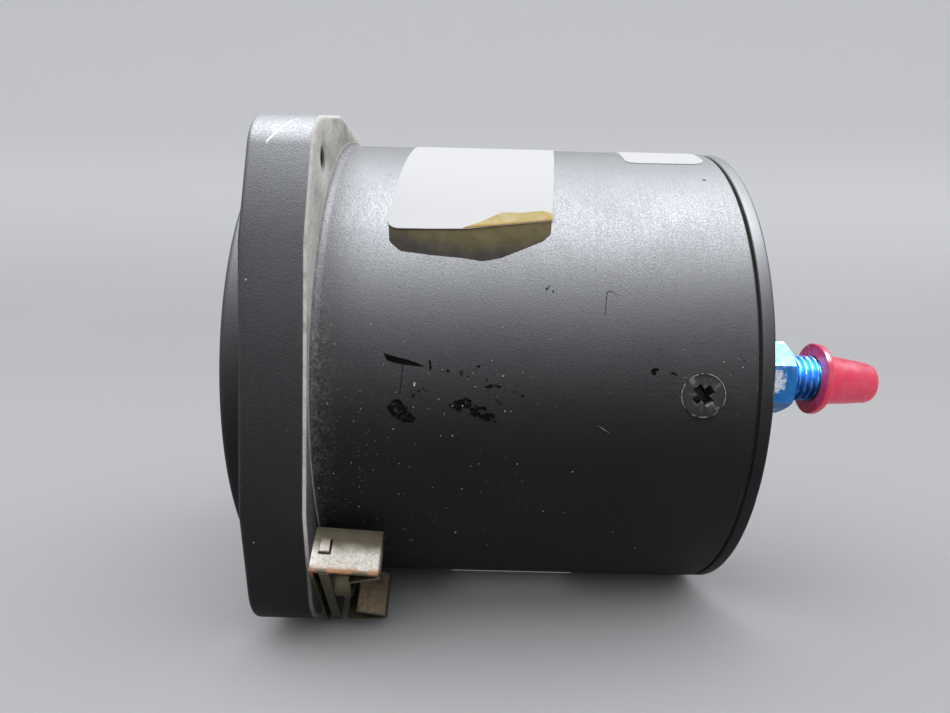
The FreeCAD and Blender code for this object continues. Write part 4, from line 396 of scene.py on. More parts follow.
class Nodes:
    """A node tree that is built by short calls."""

    def __init__(self, tree):
        self.nodes, self.links = tree.nodes, tree.links
        self.nodes.clear()

    def node(self, kind, inputs=None, **settings):
        """Adds one node, with its settings, and its inputs by name or number."""
        node = self.nodes.new(kind)
        for name, value in settings.items():
            setattr(node, name, value)
        for socket, value in (inputs or {}).items():
            self.feed(node.inputs[socket], value)
        return node

    def feed(self, socket, value):
        """Gives a socket a link or a plain value."""
        if isinstance(value, bpy.types.NodeSocket):
            self.links.new(value, socket)
        elif isinstance(value, tuple) and len(value) == 3 and len(socket.default_value) == 4:
            socket.default_value = (*value, 1)
        else:
            socket.default_value = value

    def math(self, operation, *values, clamp=False):
        inputs = dict(enumerate(values))
        return self.node(
            "ShaderNodeMath", inputs, operation=operation, use_clamp=clamp
        ).outputs[0]

    def chain(self, operation, values):
        result = values[0]
        for value in values[1:]:
            result = self.math(operation, result, value)
        return result

    def times(self, *values):
        return self.chain("MULTIPLY", values)

    def plus(self, *values):
        return self.chain("ADD", values)

    def over(self, *values):
        """The largest of several masks."""
        return self.chain("MAXIMUM", values)

    def span(self, value, low, high, start=0.0, end=1.0, smooth=True):
        """Maps a value from one range to another, held at both ends."""
        inputs = {"Value": value, "From Min": low, "From Max": high, "To Min": start, "To Max": end}
        kind = "SMOOTHSTEP" if smooth else "LINEAR"
        return self.node("ShaderNodeMapRange", inputs, interpolation_type=kind).outputs[0]

    def spread(self, value, start=0.0, end=1.0):
        """Spreads noise, most of which lies between 0.3 and 0.7, over a range."""
        return self.span(value, 0.3, 0.7, start, end)

    def mix(self, factor, first, second):
        """Blends two colours."""
        inputs = {0: factor, 6: first, 7: second}
        return self.node("ShaderNodeMix", inputs, data_type="RGBA").outputs[2]

    def blend(self, factor, first, second):
        """Blends two numbers."""
        inputs = {0: factor, 2: first, 3: second}
        return self.node("ShaderNodeMix", inputs, data_type="FLOAT").outputs[0]


class Finish(Nodes):
    """Builds one material. Lengths in its pattern are in millimetres."""

    def __init__(self, name, **sockets):
        self.material = bpy.data.materials.new(name)
        self.material.use_nodes = True
        super().__init__(self.material.node_tree)
        inputs = {socket.replace("_", " "): value for socket, value in sockets.items()}
        self.shader = self.node("ShaderNodeBsdfPrincipled", inputs)
        self.node("ShaderNodeOutputMaterial", {0: self.shader.outputs[0]})
        inputs = {0: self.node("ShaderNodeTexCoord").outputs["Object"], "Scale": 1 / MM}
        self.place = self.node("ShaderNodeVectorMath", inputs, operation="SCALE").outputs[0]
        self.x, self.y, self.z = self.node("ShaderNodeSeparateXYZ", {0: self.place}).outputs

    def set(self, socket, value):
        self.feed(self.shader.inputs[socket], value)

    def stretch(self, scale, turn=(0, 0, 0), vector=None):
        """The space of a pattern, scaled and turned."""
        turn = [math.radians(angle) for angle in turn]
        inputs = {"Scale": scale, "Rotation": turn, "Vector": vector or self.place}
        return self.node("ShaderNodeMapping", inputs).outputs[0]

    def noise(self, size, detail=3.0, rough=0.5, vector=None):
        """Noise whose patches are about this many millimetres across."""
        inputs = {"Scale": 1 / size, "Detail": detail, "Roughness": rough}
        inputs["Vector"] = vector or self.place
        return self.node("ShaderNodeTexNoise", inputs).outputs["Fac"]

    def cells(self, size):
        """Distance from the nearest of scattered points, this many millimetres apart."""
        inputs = {"Scale": 1 / size, "Vector": self.place}
        return self.node("ShaderNodeTexVoronoi", inputs).outputs["Distance"]

    def facing(self):
        """Normal of the surface, split in three."""
        normal = self.node("ShaderNodeNewGeometry").outputs["Normal"]
        return self.node("ShaderNodeSeparateXYZ", {0: normal}).outputs

    def rubbed(self, low, high, patches, first, last):
        """Mask of the outer edges, which is cut into patches by noise."""
        edges = self.node("ShaderNodeNewGeometry").outputs["Pointiness"]
        return self.times(self.span(edges, low, high), self.span(patches, first, last))

    def radius(self, centre=(0, 0)):
        """Distance from a line along Y."""
        x = self.math("SUBTRACT", self.x, centre[0])
        z = self.math("SUBTRACT", self.z, centre[1])
        return self.math("SQRT", self.math("MULTIPLY_ADD", x, x, self.times(z, z)))

    def angle(self):
        """Angle round the gauge's axis from the +X side, in radians."""
        return self.math("ARCTAN2", self.z, self.x)

    def wrapped(self):
        """Place along the barrel and length round it from the +X side, as one vector."""
        inputs = {0: self.y, 1: self.times(self.angle(), BARREL)}
        return self.node("ShaderNodeCombineXYZ", inputs).outputs[0]

    def grain(self, height, distance, strength=1.0, under=None):
        """Bump from a height, its depth in millimetres."""
        inputs = {"Strength": strength, "Distance": distance * MM, "Height": height}
        if under is not None:
            inputs["Normal"] = under
        return self.node("ShaderNodeBump", inputs).outputs[0]


def case_dust(f):
    """Two masks: pale dust, which also paints light and shade on the flange's back and edge and
    sheen on top, and the brown grains in it behind the flange.
    """
    _, normal_y, normal_z = f.facing()
    behind = f.span(f.y, FLANGE_BACK - 0.3, FLANGE_BACK - 0.05)

    # On the barrel beside the flange, thinner to the rear and lower down
    fading = f.span(f.y, FLANGE_BACK + 0.4, FLANGE_BACK + 5, 1, 0, smooth=False)
    high = f.span(f.z, -30, 24, 0.1, 1, smooth=False)
    grit = f.span(f.noise(0.5, 4, 0.75), 0.36, 0.62)
    crease = f.times(behind, fading, fading, high)
    crease = f.times(crease, f.span(f.noise(2.2, 5, 0.75), 0.34, 0.66, 0.3, 1), grit, 0.4)

    # On the flange's back, and on the rounded edge round it, both with painted light
    back = f.times(f.span(normal_y, 0.75, 0.95), behind, f.span(f.y, 20, 15))
    coarse = f.span(f.noise(0.8, 4, 0.75), 0.3, 0.54, 0.66, 1)
    coarse = f.times(coarse, f.span(f.noise(9, 4, 0.6), 0.3, 0.55, 0.6, 1))
    # Painted light and shade: the back's dust thins lower down, so its top reads lit and its lower
    # part shaded
    back = f.times(back, f.span(f.z, -22, 22, 0.05, 0.97), coarse)
    # Painted highlight: pale dust along the back's rounded edge, weaker lower down, stands in for
    # the line of light it catches
    edge = f.times(f.span(normal_y, 0.3, 0.5), f.span(normal_y, 0.97, 0.9))
    edge = f.times(edge, f.span(f.y, FLANGE_BACK - 0.8, FLANGE_BACK - 0.6))
    edge = f.times(edge, f.span(f.y, FLANGE_BACK + 0.2, FLANGE_BACK - 0.1))
    edge = f.times(edge, f.span(f.z, -30, -18, 0.2, 1))
    edge = f.times(edge, f.span(f.noise(3, 4), 0.3, 0.5, 0.5, 1))

    # Loose specks on the barrel, and a thin pale layer on all that faces up: dust, and painted
    # sheen on the top
    barrel = f.span(f.radius(), BARREL - 0.25, BARREL + 0.15)
    specks = f.times(f.span(f.cells(4.3), 0.02, 0.036, 1, 0), barrel)
    specks = f.times(specks, f.span(f.noise(20, 2), 0.4, 0.6, 0.3, 1))
    film_and_sheen = f.times(f.span(normal_z, -0.2, 0.95), f.spread(f.noise(7, 5, 0.65), 0.35, 1), 0.05)

    near = f.span(f.radius(), 42.5, 40.2, 0.12, 1)
    grains = f.times(f.span(f.cells(0.5), 0.1, 0.22, 1, 0), f.over(crease, back))
    grains = f.times(grains, f.span(f.noise(1.6, 3), 0.32, 0.46), near)
    return f.over(crease, back, edge, f.times(specks, 0.8), film_and_sheen), grains


def ear_scratch(f):
    """Mask of the long white scratch round the flange's upper right ear."""
    ear_centre = 29.94
    x, z = f.math("SUBTRACT", f.x, ear_centre), f.math("SUBTRACT", f.z, ear_centre)
    angle = f.math("ARCTAN2", z, x)
    along = f.math("MULTIPLY_ADD", f.y, math.radians(10), math.radians(-10.6))
    apart = f.math("ABSOLUTE", f.math("SUBTRACT", angle, along))
    apart = f.math("MULTIPLY_ADD", f.noise(0.6, 2), 0.03, apart)
    wide = f.span(f.y, 4.1, 4.8, 0.045, 0.024, smooth=False)
    line = f.span(f.math("SUBTRACT", apart, wide), -0.008, 0.012, 1, 0)
    line = f.times(line, f.span(f.y, 2.7, 3.0), f.span(f.y, 6.9, 6.2))
    return f.times(line, f.span(f.x, 31, 33), f.span(f.z, 30, 31))


def black_case_finish(props):
    """Satin black enamel: dust behind the flange, which also paints light and shade there, fine
    grain, specks, painted sheen on top and worn edges.
    """
    f = Finish("case_enamel", IOR=1.5, Specular_IOR_Level=props.gloss)
    clouds = f.noise(16, 4, 0.6)
    fine = f.noise(0.26, 3, 0.7)
    dust, grains = case_dust(f)
    dust = f.math("MULTIPLY", dust, props.dust, clamp=True)
    dust_and_light_colour = f.mix(f.noise(0.9, 3, 0.6), (0.5, 0.47, 0.39), (0.8, 0.78, 0.73))
    grain_colour = f.mix(f.noise(1.2, 2), (0.04, 0.027, 0.018), (0.3, 0.17, 0.09))
    scratch = ear_scratch(f)
    worn = f.rubbed(0.53, 0.62, f.noise(1.4, 4, 0.7), 0.4, 0.6)

    colour = f.mix(f.spread(clouds), tuple(props.enamel), (0.007, 0.0073, 0.0082))
    colour = f.mix(f.times(f.span(fine, 0.5, 0.75), 0.5), colour, (0.024, 0.025, 0.029))
    # Pale dust, which also paints the flange back's light and shade, a highlight along its edge and
    # sheen on top
    colour = f.mix(dust, colour, dust_and_light_colour)
    colour = f.mix(grains, colour, grain_colour)
    colour = f.mix(scratch, colour, (0.78, 0.79, 0.8))
    f.set("Base Color", f.mix(f.times(worn, props.wear), colour, (0.3, 0.31, 0.33)))

    turning = f.noise(0.5, 3, 0.6, f.stretch((1.0, 0.05, 1.0), (0, 0, 0), f.wrapped()))
    rough = f.span(clouds, 0.25, 0.75, props.roughness - 0.035, props.roughness + 0.035)
    rough = f.plus(rough, f.times(f.math("SUBTRACT", fine, 0.5), 0.5))
    rough = f.plus(rough, f.times(f.math("SUBTRACT", turning, 0.5), 0.09))
    f.set("Roughness", f.blend(f.math("MULTIPLY", dust, 0.9, clamp=True), rough, 0.95))
    skin = f.grain(fine, 0.045, 0.9)
    skin = f.grain(f.noise(5, 3, 0.6), 0.06, 0.25, skin)
    f.set("Normal", f.grain(f.math("SUBTRACT", f.times(dust, 0.5), scratch), 0.03, 0.5, skin))
    return f.material


def tar_finish():
    """Matt black residue, which shows darker than the enamel's sheen."""
    f = Finish("black_residue", Specular_IOR_Level=0.05)
    patch = f.noise(0.4, 3, 0.7)
    f.set("Base Color", f.mix(patch, (0.0025, 0.0022, 0.0018), (0.009, 0.008, 0.006)))
    f.set("Roughness", f.spread(patch, 0.8, 0.95))
    f.set("Normal", f.grain(patch, 0.02, 0.5))
    return f.material


def flake_finish():
    """Pale dust, a little yellow."""
    f = Finish("dust_flakes", Specular_IOR_Level=0.1)
    tone = f.noise(0.9, 3, 0.7)
    f.set("Base Color", f.mix(f.spread(tone), (0.2, 0.17, 0.11), (0.62, 0.6, 0.54)))
    f.set("Roughness", f.spread(tone, 0.8, 0.95))
    return f.material


def black_cover_finish(props):
    """The cover's enamel, with the faint rings that turning left in it."""
    f = Finish("cover_enamel", IOR=1.5, Specular_IOR_Level=props.gloss)
    radius = f.radius()
    clouds = f.noise(14, 4, 0.55)
    colour = f.mix(f.spread(clouds), tuple(props.enamel), (0.01, 0.0103, 0.0112))
    flat = f.span(f.facing()[1], 0.8, 0.97)
    near = f.math("SUBTRACT", f.radius(INLET), 8.0)
    soot = f.times(f.span(near, 0, 4.5, 1, 0), f.span(f.noise(1.3, 4, 0.7), 0.35, 0.65))
    specks = f.span(f.cells(1.6), 0.02, 0.07, 1, 0)
    specks = f.times(specks, f.span(f.noise(9, 3), 0.5, 0.7))
    dust = f.times(f.over(f.times(soot, 0.5), f.times(specks, 0.6)), flat, props.dust)
    colour = f.mix(dust, colour, (0.33, 0.31, 0.28))
    worn = f.rubbed(0.53, 0.6, f.noise(1.1, 4, 0.7), 0.35, 0.6)
    worn = f.times(worn, f.span(f.facing()[1], 0.98, 0.85))
    colour = f.mix(f.times(worn, props.wear * 1.4), colour, (0.34, 0.34, 0.35))
    f.set("Base Color", colour)
    f.set("Roughness", f.span(clouds, 0.25, 0.75, props.roughness - 0.06, props.roughness + 0.04))
    rings = f.math("SINE", f.times(radius, 9.0))
    skin = f.grain(f.times(rings, flat), 0.004, 0.3)
    skin = f.grain(f.noise(0.3, 2), 0.012, 0.35, skin)
    f.set("Normal", skin)
    return f.material


def gasket_finish():
    f = Finish("gasket_fibre", Specular_IOR_Level=0.3)
    fibre = f.noise(0.4, 4, 0.7, f.stretch((1, 4, 1)))
    f.set("Base Color", f.mix(fibre, (0.008, 0.0075, 0.006), (0.03, 0.026, 0.018)))
    f.set("Roughness", f.spread(fibre, 0.75, 0.95))
    f.set("Normal", f.grain(fibre, 0.03, 0.6))
    return f.material


def rubber_finish():
    f = Finish("black_rubber", Specular_IOR_Level=0.4)
    bloom = f.noise(3, 4, 0.6)
    f.set("Base Color", f.mix(f.span(bloom, 0.4, 0.7), (0.012, 0.012, 0.012), (0.04, 0.04, 0.038)))
    f.set("Roughness", f.spread(bloom, 0.6, 0.8))
    f.set("Normal", f.grain(f.noise(0.2, 2), 0.01, 0.4))
    return f.material


def screw_finish():
    """Black screws: rim and recess rubbed bare in places, pale grit in the corners."""
    f = Finish("screw_black_oxide", Specular_IOR_Level=0.3)
    bare = f.rubbed(0.52, 0.58, f.noise(0.7, 3, 0.7), 0.4, 0.55)
    specks = f.span(f.cells(0.45), 0.06, 0.16, 1, 0)
    specks = f.times(specks, f.span(f.noise(1.1, 3), 0.52, 0.62), 0.7)
    colour = f.mix(f.noise(0.9, 3), (0.006, 0.006, 0.006), (0.016, 0.016, 0.015))
    f.set("Base Color", f.mix(f.over(f.times(bare, 0.35), specks), colour, (0.42, 0.4, 0.34)))
    f.set("Roughness", f.spread(f.noise(0.5, 3), 0.5, 0.7))
    f.set("Normal", f.grain(f.noise(0.18, 3), 0.015, 0.5))
    return f.material


def label_finish(props):
    """Plain white paper label, slightly soiled at its edges."""
    f = Finish("label_paper", Specular_IOR_Level=0.06)
    soil = f.span(f.noise(6, 5, 0.65), 0.55, 0.8)
    colour = f.mix(f.times(soil, 0.12), tuple(props.paper), (0.72, 0.68, 0.58))
    f.set("Base Color", colour)
    f.set("Roughness", f.spread(f.noise(0.5, 3), 0.42, 0.55))
    f.set("Normal", f.grain(f.noise(0.25, 3, 0.6), 0.008, 0.3))
    return f.material


def backing_finish(props):
    """The label's folded edge, stained yellow by its own adhesive, deepest along its fold."""
    f = Finish("label_stained_edge", Specular_IOR_Level=0.1)
    stain = f.noise(1.6, 5, 0.7)
    colour = f.mix(f.spread(stain), (0.84, 0.72, 0.4), tuple(props.stain))
    angle = f.angle()
    fold = f.math("MULTIPLY_ADD", f.y, math.radians(-0.19), angle)
    fold = f.span(fold, math.radians(28.4), math.radians(27.4))
    colour = f.mix(f.times(fold, 0.85), colour, (0.6, 0.3, 0.05))
    dark = f.times(f.span(f.noise(0.9, 4, 0.7), 0.6, 0.75), 0.3)
    f.set("Base Color", f.mix(dark, colour, (0.4, 0.25, 0.08)))
    f.set("Roughness", f.spread(stain, 0.5, 0.65))
    f.set("Normal", f.grain(f.noise(0.5, 3), 0.03, 0.4))
    return f.material


def glue_finish():
    """Painted shadow under the front label's lifted edge, with a painted reflection of the label's
    yellow underside: olive at its top, dark grey lower down.
    """
    f = Finish("painted_label_shadow", Specular_IOR_Level=0.1)
    patch = f.noise(2.2, 5, 0.7)
    olive = f.mix(f.spread(patch), (0.13, 0.107, 0.052), (0.19, 0.158, 0.08))
    grey = f.mix(f.spread(patch), (0.055, 0.05, 0.042), (0.085, 0.077, 0.064))
    angle = f.angle()
    bow = f.times(f.math("SUBTRACT", f.y, 33.0), f.math("SUBTRACT", f.y, 33.0))
    height = f.math("MULTIPLY_ADD", bow, math.radians(-0.022), angle)
    ragged = f.times(f.math("SUBTRACT", f.noise(3, 4, 0.6), 0.5), math.radians(3))
    down = f.span(f.plus(height, ragged), math.radians(31.4), math.radians(26.4), smooth=False)
    colour = f.mix(down, olive, grey)
    grit = f.span(f.cells(0.7), 0.04, 0.15, 1, 0)
    grit = f.times(grit, f.span(f.noise(3), 0.48, 0.6), f.span(f.y, 25, 34))
    colour = f.mix(f.times(grit, 0.8), colour, (0.42, 0.34, 0.16))
    f.set("Base Color", colour)
    f.set("Roughness", f.spread(patch, 0.6, 0.8))
    f.set("Normal", f.grain(f.noise(0.6, 4, 0.7), 0.03, 0.5))
    return f.material


def blue_anodised_finish(props):
    """Blue anodised aluminium, with the dye rubbed off corners and one dull silver patch."""
    f = Finish("blue_anodised", Metallic=1.0)
    cloud = f.noise(1.8, 4, 0.6)
    deep, pale = tuple(props.anodised), (0.045, 0.19, 0.46)
    colour = f.mix(f.span(cloud, 0.35, 0.75), deep, pale)
    edge = f.rubbed(0.52, 0.6, f.noise(0.6, 4, 0.7), 0.42, 0.6)
    rub = f.times(f.span(f.y, 79.6, 82.0), f.span(f.y, 86.4, 83.4), f.span(f.z, 3.2, -0.4))
    rub = f.times(rub, f.span(f.z, -4.2, -1.6), f.span(f.x, 17, 18))
    rub = f.span(f.times(rub, f.noise(0.9, 4, 0.7)), 0.3, 0.4)
    rub = f.times(rub, f.span(f.noise(0.35, 3, 0.7), 0.35, 0.6, 0.5, 1))
    nicks = f.times(f.span(f.noise(0.5, 2), 0.74, 0.78), 0.5)
    bare = f.over(f.times(edge, 0.7), f.times(rub, 0.85), nicks)
    f.set("Base Color", f.mix(bare, colour, (0.74, 0.74, 0.72)))
    f.set("Roughness", f.blend(bare, f.spread(cloud, 0.42, 0.52), 0.55))
    f.set("Normal", f.grain(f.noise(0.22, 3, 0.6), 0.008, 0.4))
    return f.material


def red_cap_finish(props):
    """Soft red plastic that light gets into."""
    f = Finish(
        "cap_plastic",
        IOR=1.48,
        Subsurface_Weight=0.15,
        Subsurface_Scale=0.0015,
        Subsurface_Radius=(1.0, 0.25, 0.2),
    )
    cloud = f.noise(2.4, 4, 0.6)
    colour = f.mix(f.spread(cloud), tuple(props.plastic), (1.0, 0.1, 0.19))
    scuff = f.times(f.span(f.noise(0.7, 4, 0.7), 0.64, 0.74), 0.12)
    f.set("Base Color", f.mix(scuff, colour, (1.0, 0.35, 0.42)))
    f.set("Roughness", f.spread(cloud, 0.22, 0.32))
    lines = f.math("SINE", f.times(f.y, 14.0))
    skin = f.grain(lines, 0.006, 0.2)
    f.set("Normal", f.grain(f.noise(0.9, 3, 0.6), 0.05, 0.35, skin))
    return f.material


def bronze_clip_finish(props):
    """Spring bronze: dull olive brown, coppery at its edges, with a painted highlight: a bright
    stripe on the upper leg.
    """
    f = Finish("clip_bronze", Metallic=1.0)
    cloud = f.noise(2.6, 5, 0.65)
    colour = f.mix(f.spread(cloud), tuple(props.bronze), (0.17, 0.15, 0.1))
    red = f.times(f.span(f.noise(1.9, 4, 0.7), 0.58, 0.72), 0.4)
    colour = f.mix(red, colour, (0.22, 0.13, 0.08))
    edge = f.rubbed(0.6, 0.72, f.noise(0.8, 3, 0.7), 0.4, 0.6)
    colour = f.mix(f.times(edge, 0.55), colour, (0.5, 0.3, 0.19))

    # Lengths from the clip's hole: out along the upper leg's side, and across the strip
    x, z = f.math("SUBTRACT", f.x, BOLT), f.math("ADD", f.z, BOLT)
    turn = math.radians(49)
    out = f.plus(f.times(x, math.cos(turn)), f.times(z, math.sin(turn)))
    across = f.math("SUBTRACT", f.times(z, math.cos(turn)), f.times(x, math.sin(turn)))
    wavy = f.math("MULTIPLY_ADD", f.math("SUBTRACT", f.noise(1.4, 3), 0.5), 1.6, across)
    leg = f.span(out, 6.6, 7.2)
    # Painted highlight: a bright stripe across the upper leg, where the bent strip catches the
    # light
    painted_highlight = f.times(0.8, f.span(wavy, 1.6, -1.0), f.span(across, -3.25, -2.7), leg)
    rust = f.times(f.span(across, -2.2, -3.3), leg, f.span(f.noise(1.2, 3), 0.4, 0.55))
    fleck = f.span(f.noise(0.35, 3, 0.7), 0.3, 0.6, 0.55, 1)
    colour = f.mix(f.times(painted_highlight, fleck), colour, (0.95, 0.9, 0.8))
    colour = f.mix(f.times(rust, 0.8), colour, (0.5, 0.24, 0.12))
    bloom = f.times(f.span(f.noise(0.7, 5, 0.75), 0.56, 0.72), 0.4)
    colour = f.mix(bloom, colour, (0.1, 0.09, 0.07))
    f.set("Base Color", colour)
    rough = f.span(cloud, 0.25, 0.75, 0.34, 0.5)
    f.set("Roughness", f.blend(bloom, rough, 0.75))
    brushed = f.noise(0.3, 2, 0.5, f.stretch((1, 1, 0.15), (0, -49, 0)))
    f.set("Normal", f.grain(f.noise(0.5, 3), 0.02, 0.4, f.grain(brushed, 0.01, 0.3)))
    return f.material


def glass_finish():
    f = Finish("window_glass", Transmission_Weight=1.0, IOR=1.52)
    haze = f.span(f.noise(12, 4, 0.6), 0.45, 0.8)
    prints = f.span(f.noise(3, 5, 0.7), 0.58, 0.75)
    f.set("Base Color", f.mix(f.times(haze, 0.3), (0.985, 0.995, 0.99), (0.95, 0.97, 0.96)))
    f.set("Roughness", f.times(f.plus(haze, prints), 0.018))
    return f.material


def dial_finish():
    f = Finish("dial_matte_black", Specular_IOR_Level=0.3)
    flock = f.noise(0.12, 2, 0.6)
    f.set("Base Color", f.mix(flock, (0.007, 0.007, 0.0075), (0.016, 0.016, 0.017)))
    f.set("Roughness", f.spread(flock, 0.7, 0.85))
    f.set("Normal", f.grain(flock, 0.01, 0.5))
    return f.material


def paint_finish(name, colour, aged):
    """Paint of the markings and the pointer, slightly uneven with age."""
    f = Finish(name, Specular_IOR_Level=0.35)
    age = f.span(f.noise(1.8, 4, 0.6), 0.4, 0.7)
    f.set("Base Color", f.mix(age, colour, aged))
    f.set("Roughness", f.spread(f.noise(0.3, 2), 0.55, 0.7))
    f.set("Normal", f.grain(f.noise(0.15, 2), 0.006, 0.5))
    return f.material


def metal_finish(name, colour, dull, rough, grain=(1, 1, 1), grain_size=0.35):
    """Machined metal with its grain one way and a little tarnish."""
    f = Finish(name, Metallic=1.0)
    tarnish = f.span(f.noise(3.5, 5, 0.65), 0.42, 0.72)
    brushed = f.noise(grain_size, 2, 0.5, f.stretch(grain))
    f.set("Base Color", f.mix(f.times(tarnish, 0.6), colour, dull))
    low, high = rough - 0.06, rough + 0.08
    f.set("Roughness", f.plus(f.spread(brushed, low, high), f.times(tarnish, 0.12)))
    f.set("Normal", f.grain(brushed, 0.006, 0.4))
    return f.material


# Settings that a user may change


def colour_field(name, description, default):
    return FloatVectorProperty(
        name=name, description=description, subtype="COLOR", size=3, min=0, max=1, default=default
    )


def number_field(name, description, default, low=0, high=1, subtype="FACTOR"):
    return FloatProperty(
        name=name, description=description, subtype=subtype, min=low, max=high, default=default
    )


class GaugeCaseSettings(bpy.types.PropertyGroup):
    enamel: colour_field("Enamel", "Colour of the black enamel", (0.0042, 0.0043, 0.0048))
    roughness: number_field("Roughness", "How matt the enamel is", 0.63, 0.1, 0.9)
    gloss: number_field("Gloss", "Strength of the enamel's reflection", 0.25)
    dust: number_field("Dust", "How dusty the case is", 1.0)
    wear: number_field("Edge wear", "How far the edges are rubbed", 0.5)
    boss_rounding: number_field(
        "Boss rounding", "Rounded front edge of the boss", 0.0015, 0.0002, 0.002, "DISTANCE"
    )
    segments: IntProperty(
        name="Segments", description="Facets round the barrel", min=64, max=512, default=256
    )


class GaugeLabelSettings(bpy.types.PropertyGroup):
    paper: colour_field("Paper", "Colour of the bare labels", (0.94, 0.94, 0.935))
    stain: colour_field("Stain", "Colour of the folded, stained edge", (0.72, 0.55, 0.2))
    thickness: number_field(
        "Thickness", "Thickness of a label", 0.00012, 0.00002, 0.0004, "DISTANCE"
    )


class GaugeInletSettings(bpy.types.PropertyGroup):
    anodised: colour_field("Anodised blue", "Colour of the fitting", (0.02, 0.15, 0.42))
    plastic: colour_field("Cap plastic", "Colour of the push-on cap", (1.0, 0.05, 0.12))
    droop: number_field("Cap droop", "How far the cap sags", math.radians(3.5), 0, 0.15, "ANGLE")


class GaugeClipSettings(bpy.types.PropertyGroup):
    bronze: colour_field("Bronze", "Colour of the clip nut", (0.12, 0.105, 0.075))
    softening: number_field(
        "Softened edges", "Rounding of the strip's cut edges", 0.00007, 0.00001, 0.0002, "DISTANCE"
    )


class GaugeDialSettings(bpy.types.PropertyGroup):
    first_value: IntProperty(
        name="First value", description="Lowest number", min=0, max=20, default=10
    )
    last_value: IntProperty(
        name="Last value", description="Highest number", min=30, max=80, default=50
    )
    number_height: number_field(
        "Number height", "Height of the dial's numbers", 0.0052, 0.002, 0.008, "DISTANCE"
    )


class GaugeStageSettings(bpy.types.PropertyGroup):
    floor: colour_field("Floor", "Colour of the floor and the backdrop", (0.58, 0.58, 0.575))
    lamp: number_field("Overhead lamp", "Power of the large lamp above", 0.2, 0, 50, "POWER")
    sheen: number_field(
        "Sheen lamp", "Power of the lamp that only shows as sheen on the enamel", 30, 0, 80, "POWER"
    )
    sky: number_field("Room light", "Strength of the room's light", 1.25, 0, 3, "NONE")


# Operators, one for each piece or group of pieces


class GAUGE_OT_case(bpy.types.Operator):
    """Build the case: the flange with its rounded ears, the boss and the barrel"""

    bl_idname = "gauge.case"
    bl_label = "Case"

    def execute(self, context):
        props = context.scene.gauge_case
        finish = black_case_finish(props)
        self.flange(finish)
        barrel = self.barrel(finish, props)
        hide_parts("case_body")
        return {"FINISHED"}

    def flange(self, finish):
        """The flange: flat along each side, sloping to a rounded ear at each corner."""
        flat, ear, rounding, opening = 18.8, 36.45, 8.0, 38.4
        start, edge, end = (HALF_FLANGE, flat), (ear, ear), (flat, HALF_FLANGE)
        start, edge, end = Vector(start), Vector(edge), Vector(end)
        down, up = start - edge, end - edge
        bisector = (down.normalized() + up.normalized()).normalized()
        centre = edge + bisector * (rounding / math.sin(down.angle(up) / 2))
        slope = math.degrees(math.atan2(ear - HALF_FLANGE, ear - flat))
        quarter = [start, *arc_points(centre, rounding, -slope, 90 + slope, 14), end]
        outline = []
        for turn in range(4):
            spin = Matrix.Rotation(math.radians(90 * turn), 2)
            outline += [spin @ point for point in quarter]
        corners = ((BOLT, BOLT), (-BOLT, BOLT), (-BOLT, -BOLT), (BOLT, -BOLT))
        holes = [(0, 0, opening)] + [(x, z, BOLT_HOLE) for x, z in corners]
        mesh = bmesh.new()
        add_plate(mesh, outline, 0.0, FLANGE_BACK, 0.75, holes)
        piece = make_piece("case_flange", mesh, "case", finish, sharp=50)
        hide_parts("case_body")

    def barrel(self, finish, props):
        """The boss, the barrel and the lugs inside, with the three screws' sunk holes."""
        corners = [
            (37.1, -3.5, 0.25), (39.1, -3.5, props.boss_rounding / MM), (39.1, 0.0), (39.1, 4.0),
            (40.9, 4.0), (40.9, 9.2), (40.42, 9.4), (40.0, 9.62), (39.76, 10.0), (BARREL, 10.6),
            (BARREL, BARREL_END, 0.28), (37.45, BARREL_END), (37.45, 5.6), (34.6, 5.6),
            (34.6, 3.6, 0.1), (37.1, 3.6), (37.1, -0.5), (37.9, -0.5), (37.9, -2.1), (37.1, -2.1),
        ]
        mesh = bmesh.new()
        add_turned(mesh, rounded_profile(corners), props.segments)
        piece = make_piece("case_barrel", mesh, "case", finish)
        sink = [(0, 35.5), (1.78, 35.5), (1.78, 38.03), (3.2, 39.53), (3.2, 41), (0, 41)]
        lugs = bmesh.new()
        shape = Matrix.Translation((34.6, 14.0, 0)) @ Matrix.Diagonal((6.6, 5, 8, 1))
        for number in range(3):
            cutter = bmesh.new()
            add_turned(cutter, sink, 64)
            cut_piece(piece, make_piece("sink", cutter, place=screw_matrix(number)))
            cube = bmesh.ops.create_cube(lugs, size=1)["verts"]
            spin = Matrix.Rotation(math.radians(-120 * number), 4, "Y")
            bmesh.ops.transform(lugs, matrix=spin @ shape, verts=cube)
        turned_normals(piece, BARREL)
        make_piece("case_lugs", lugs, "case", finish)
        return piece


def screw_matrix(number):
    """Turns a screw drawn along +Y so that it points out of the barrel at its place."""
    out = Matrix.Rotation(math.radians(-90), 4, "Z")
    spin = Matrix.Rotation(math.radians(-SCREW_TURN + 120 * number), 4, "Y")
    return Matrix.Translation((0, SCREW_PLACE, 0)) @ spin @ out


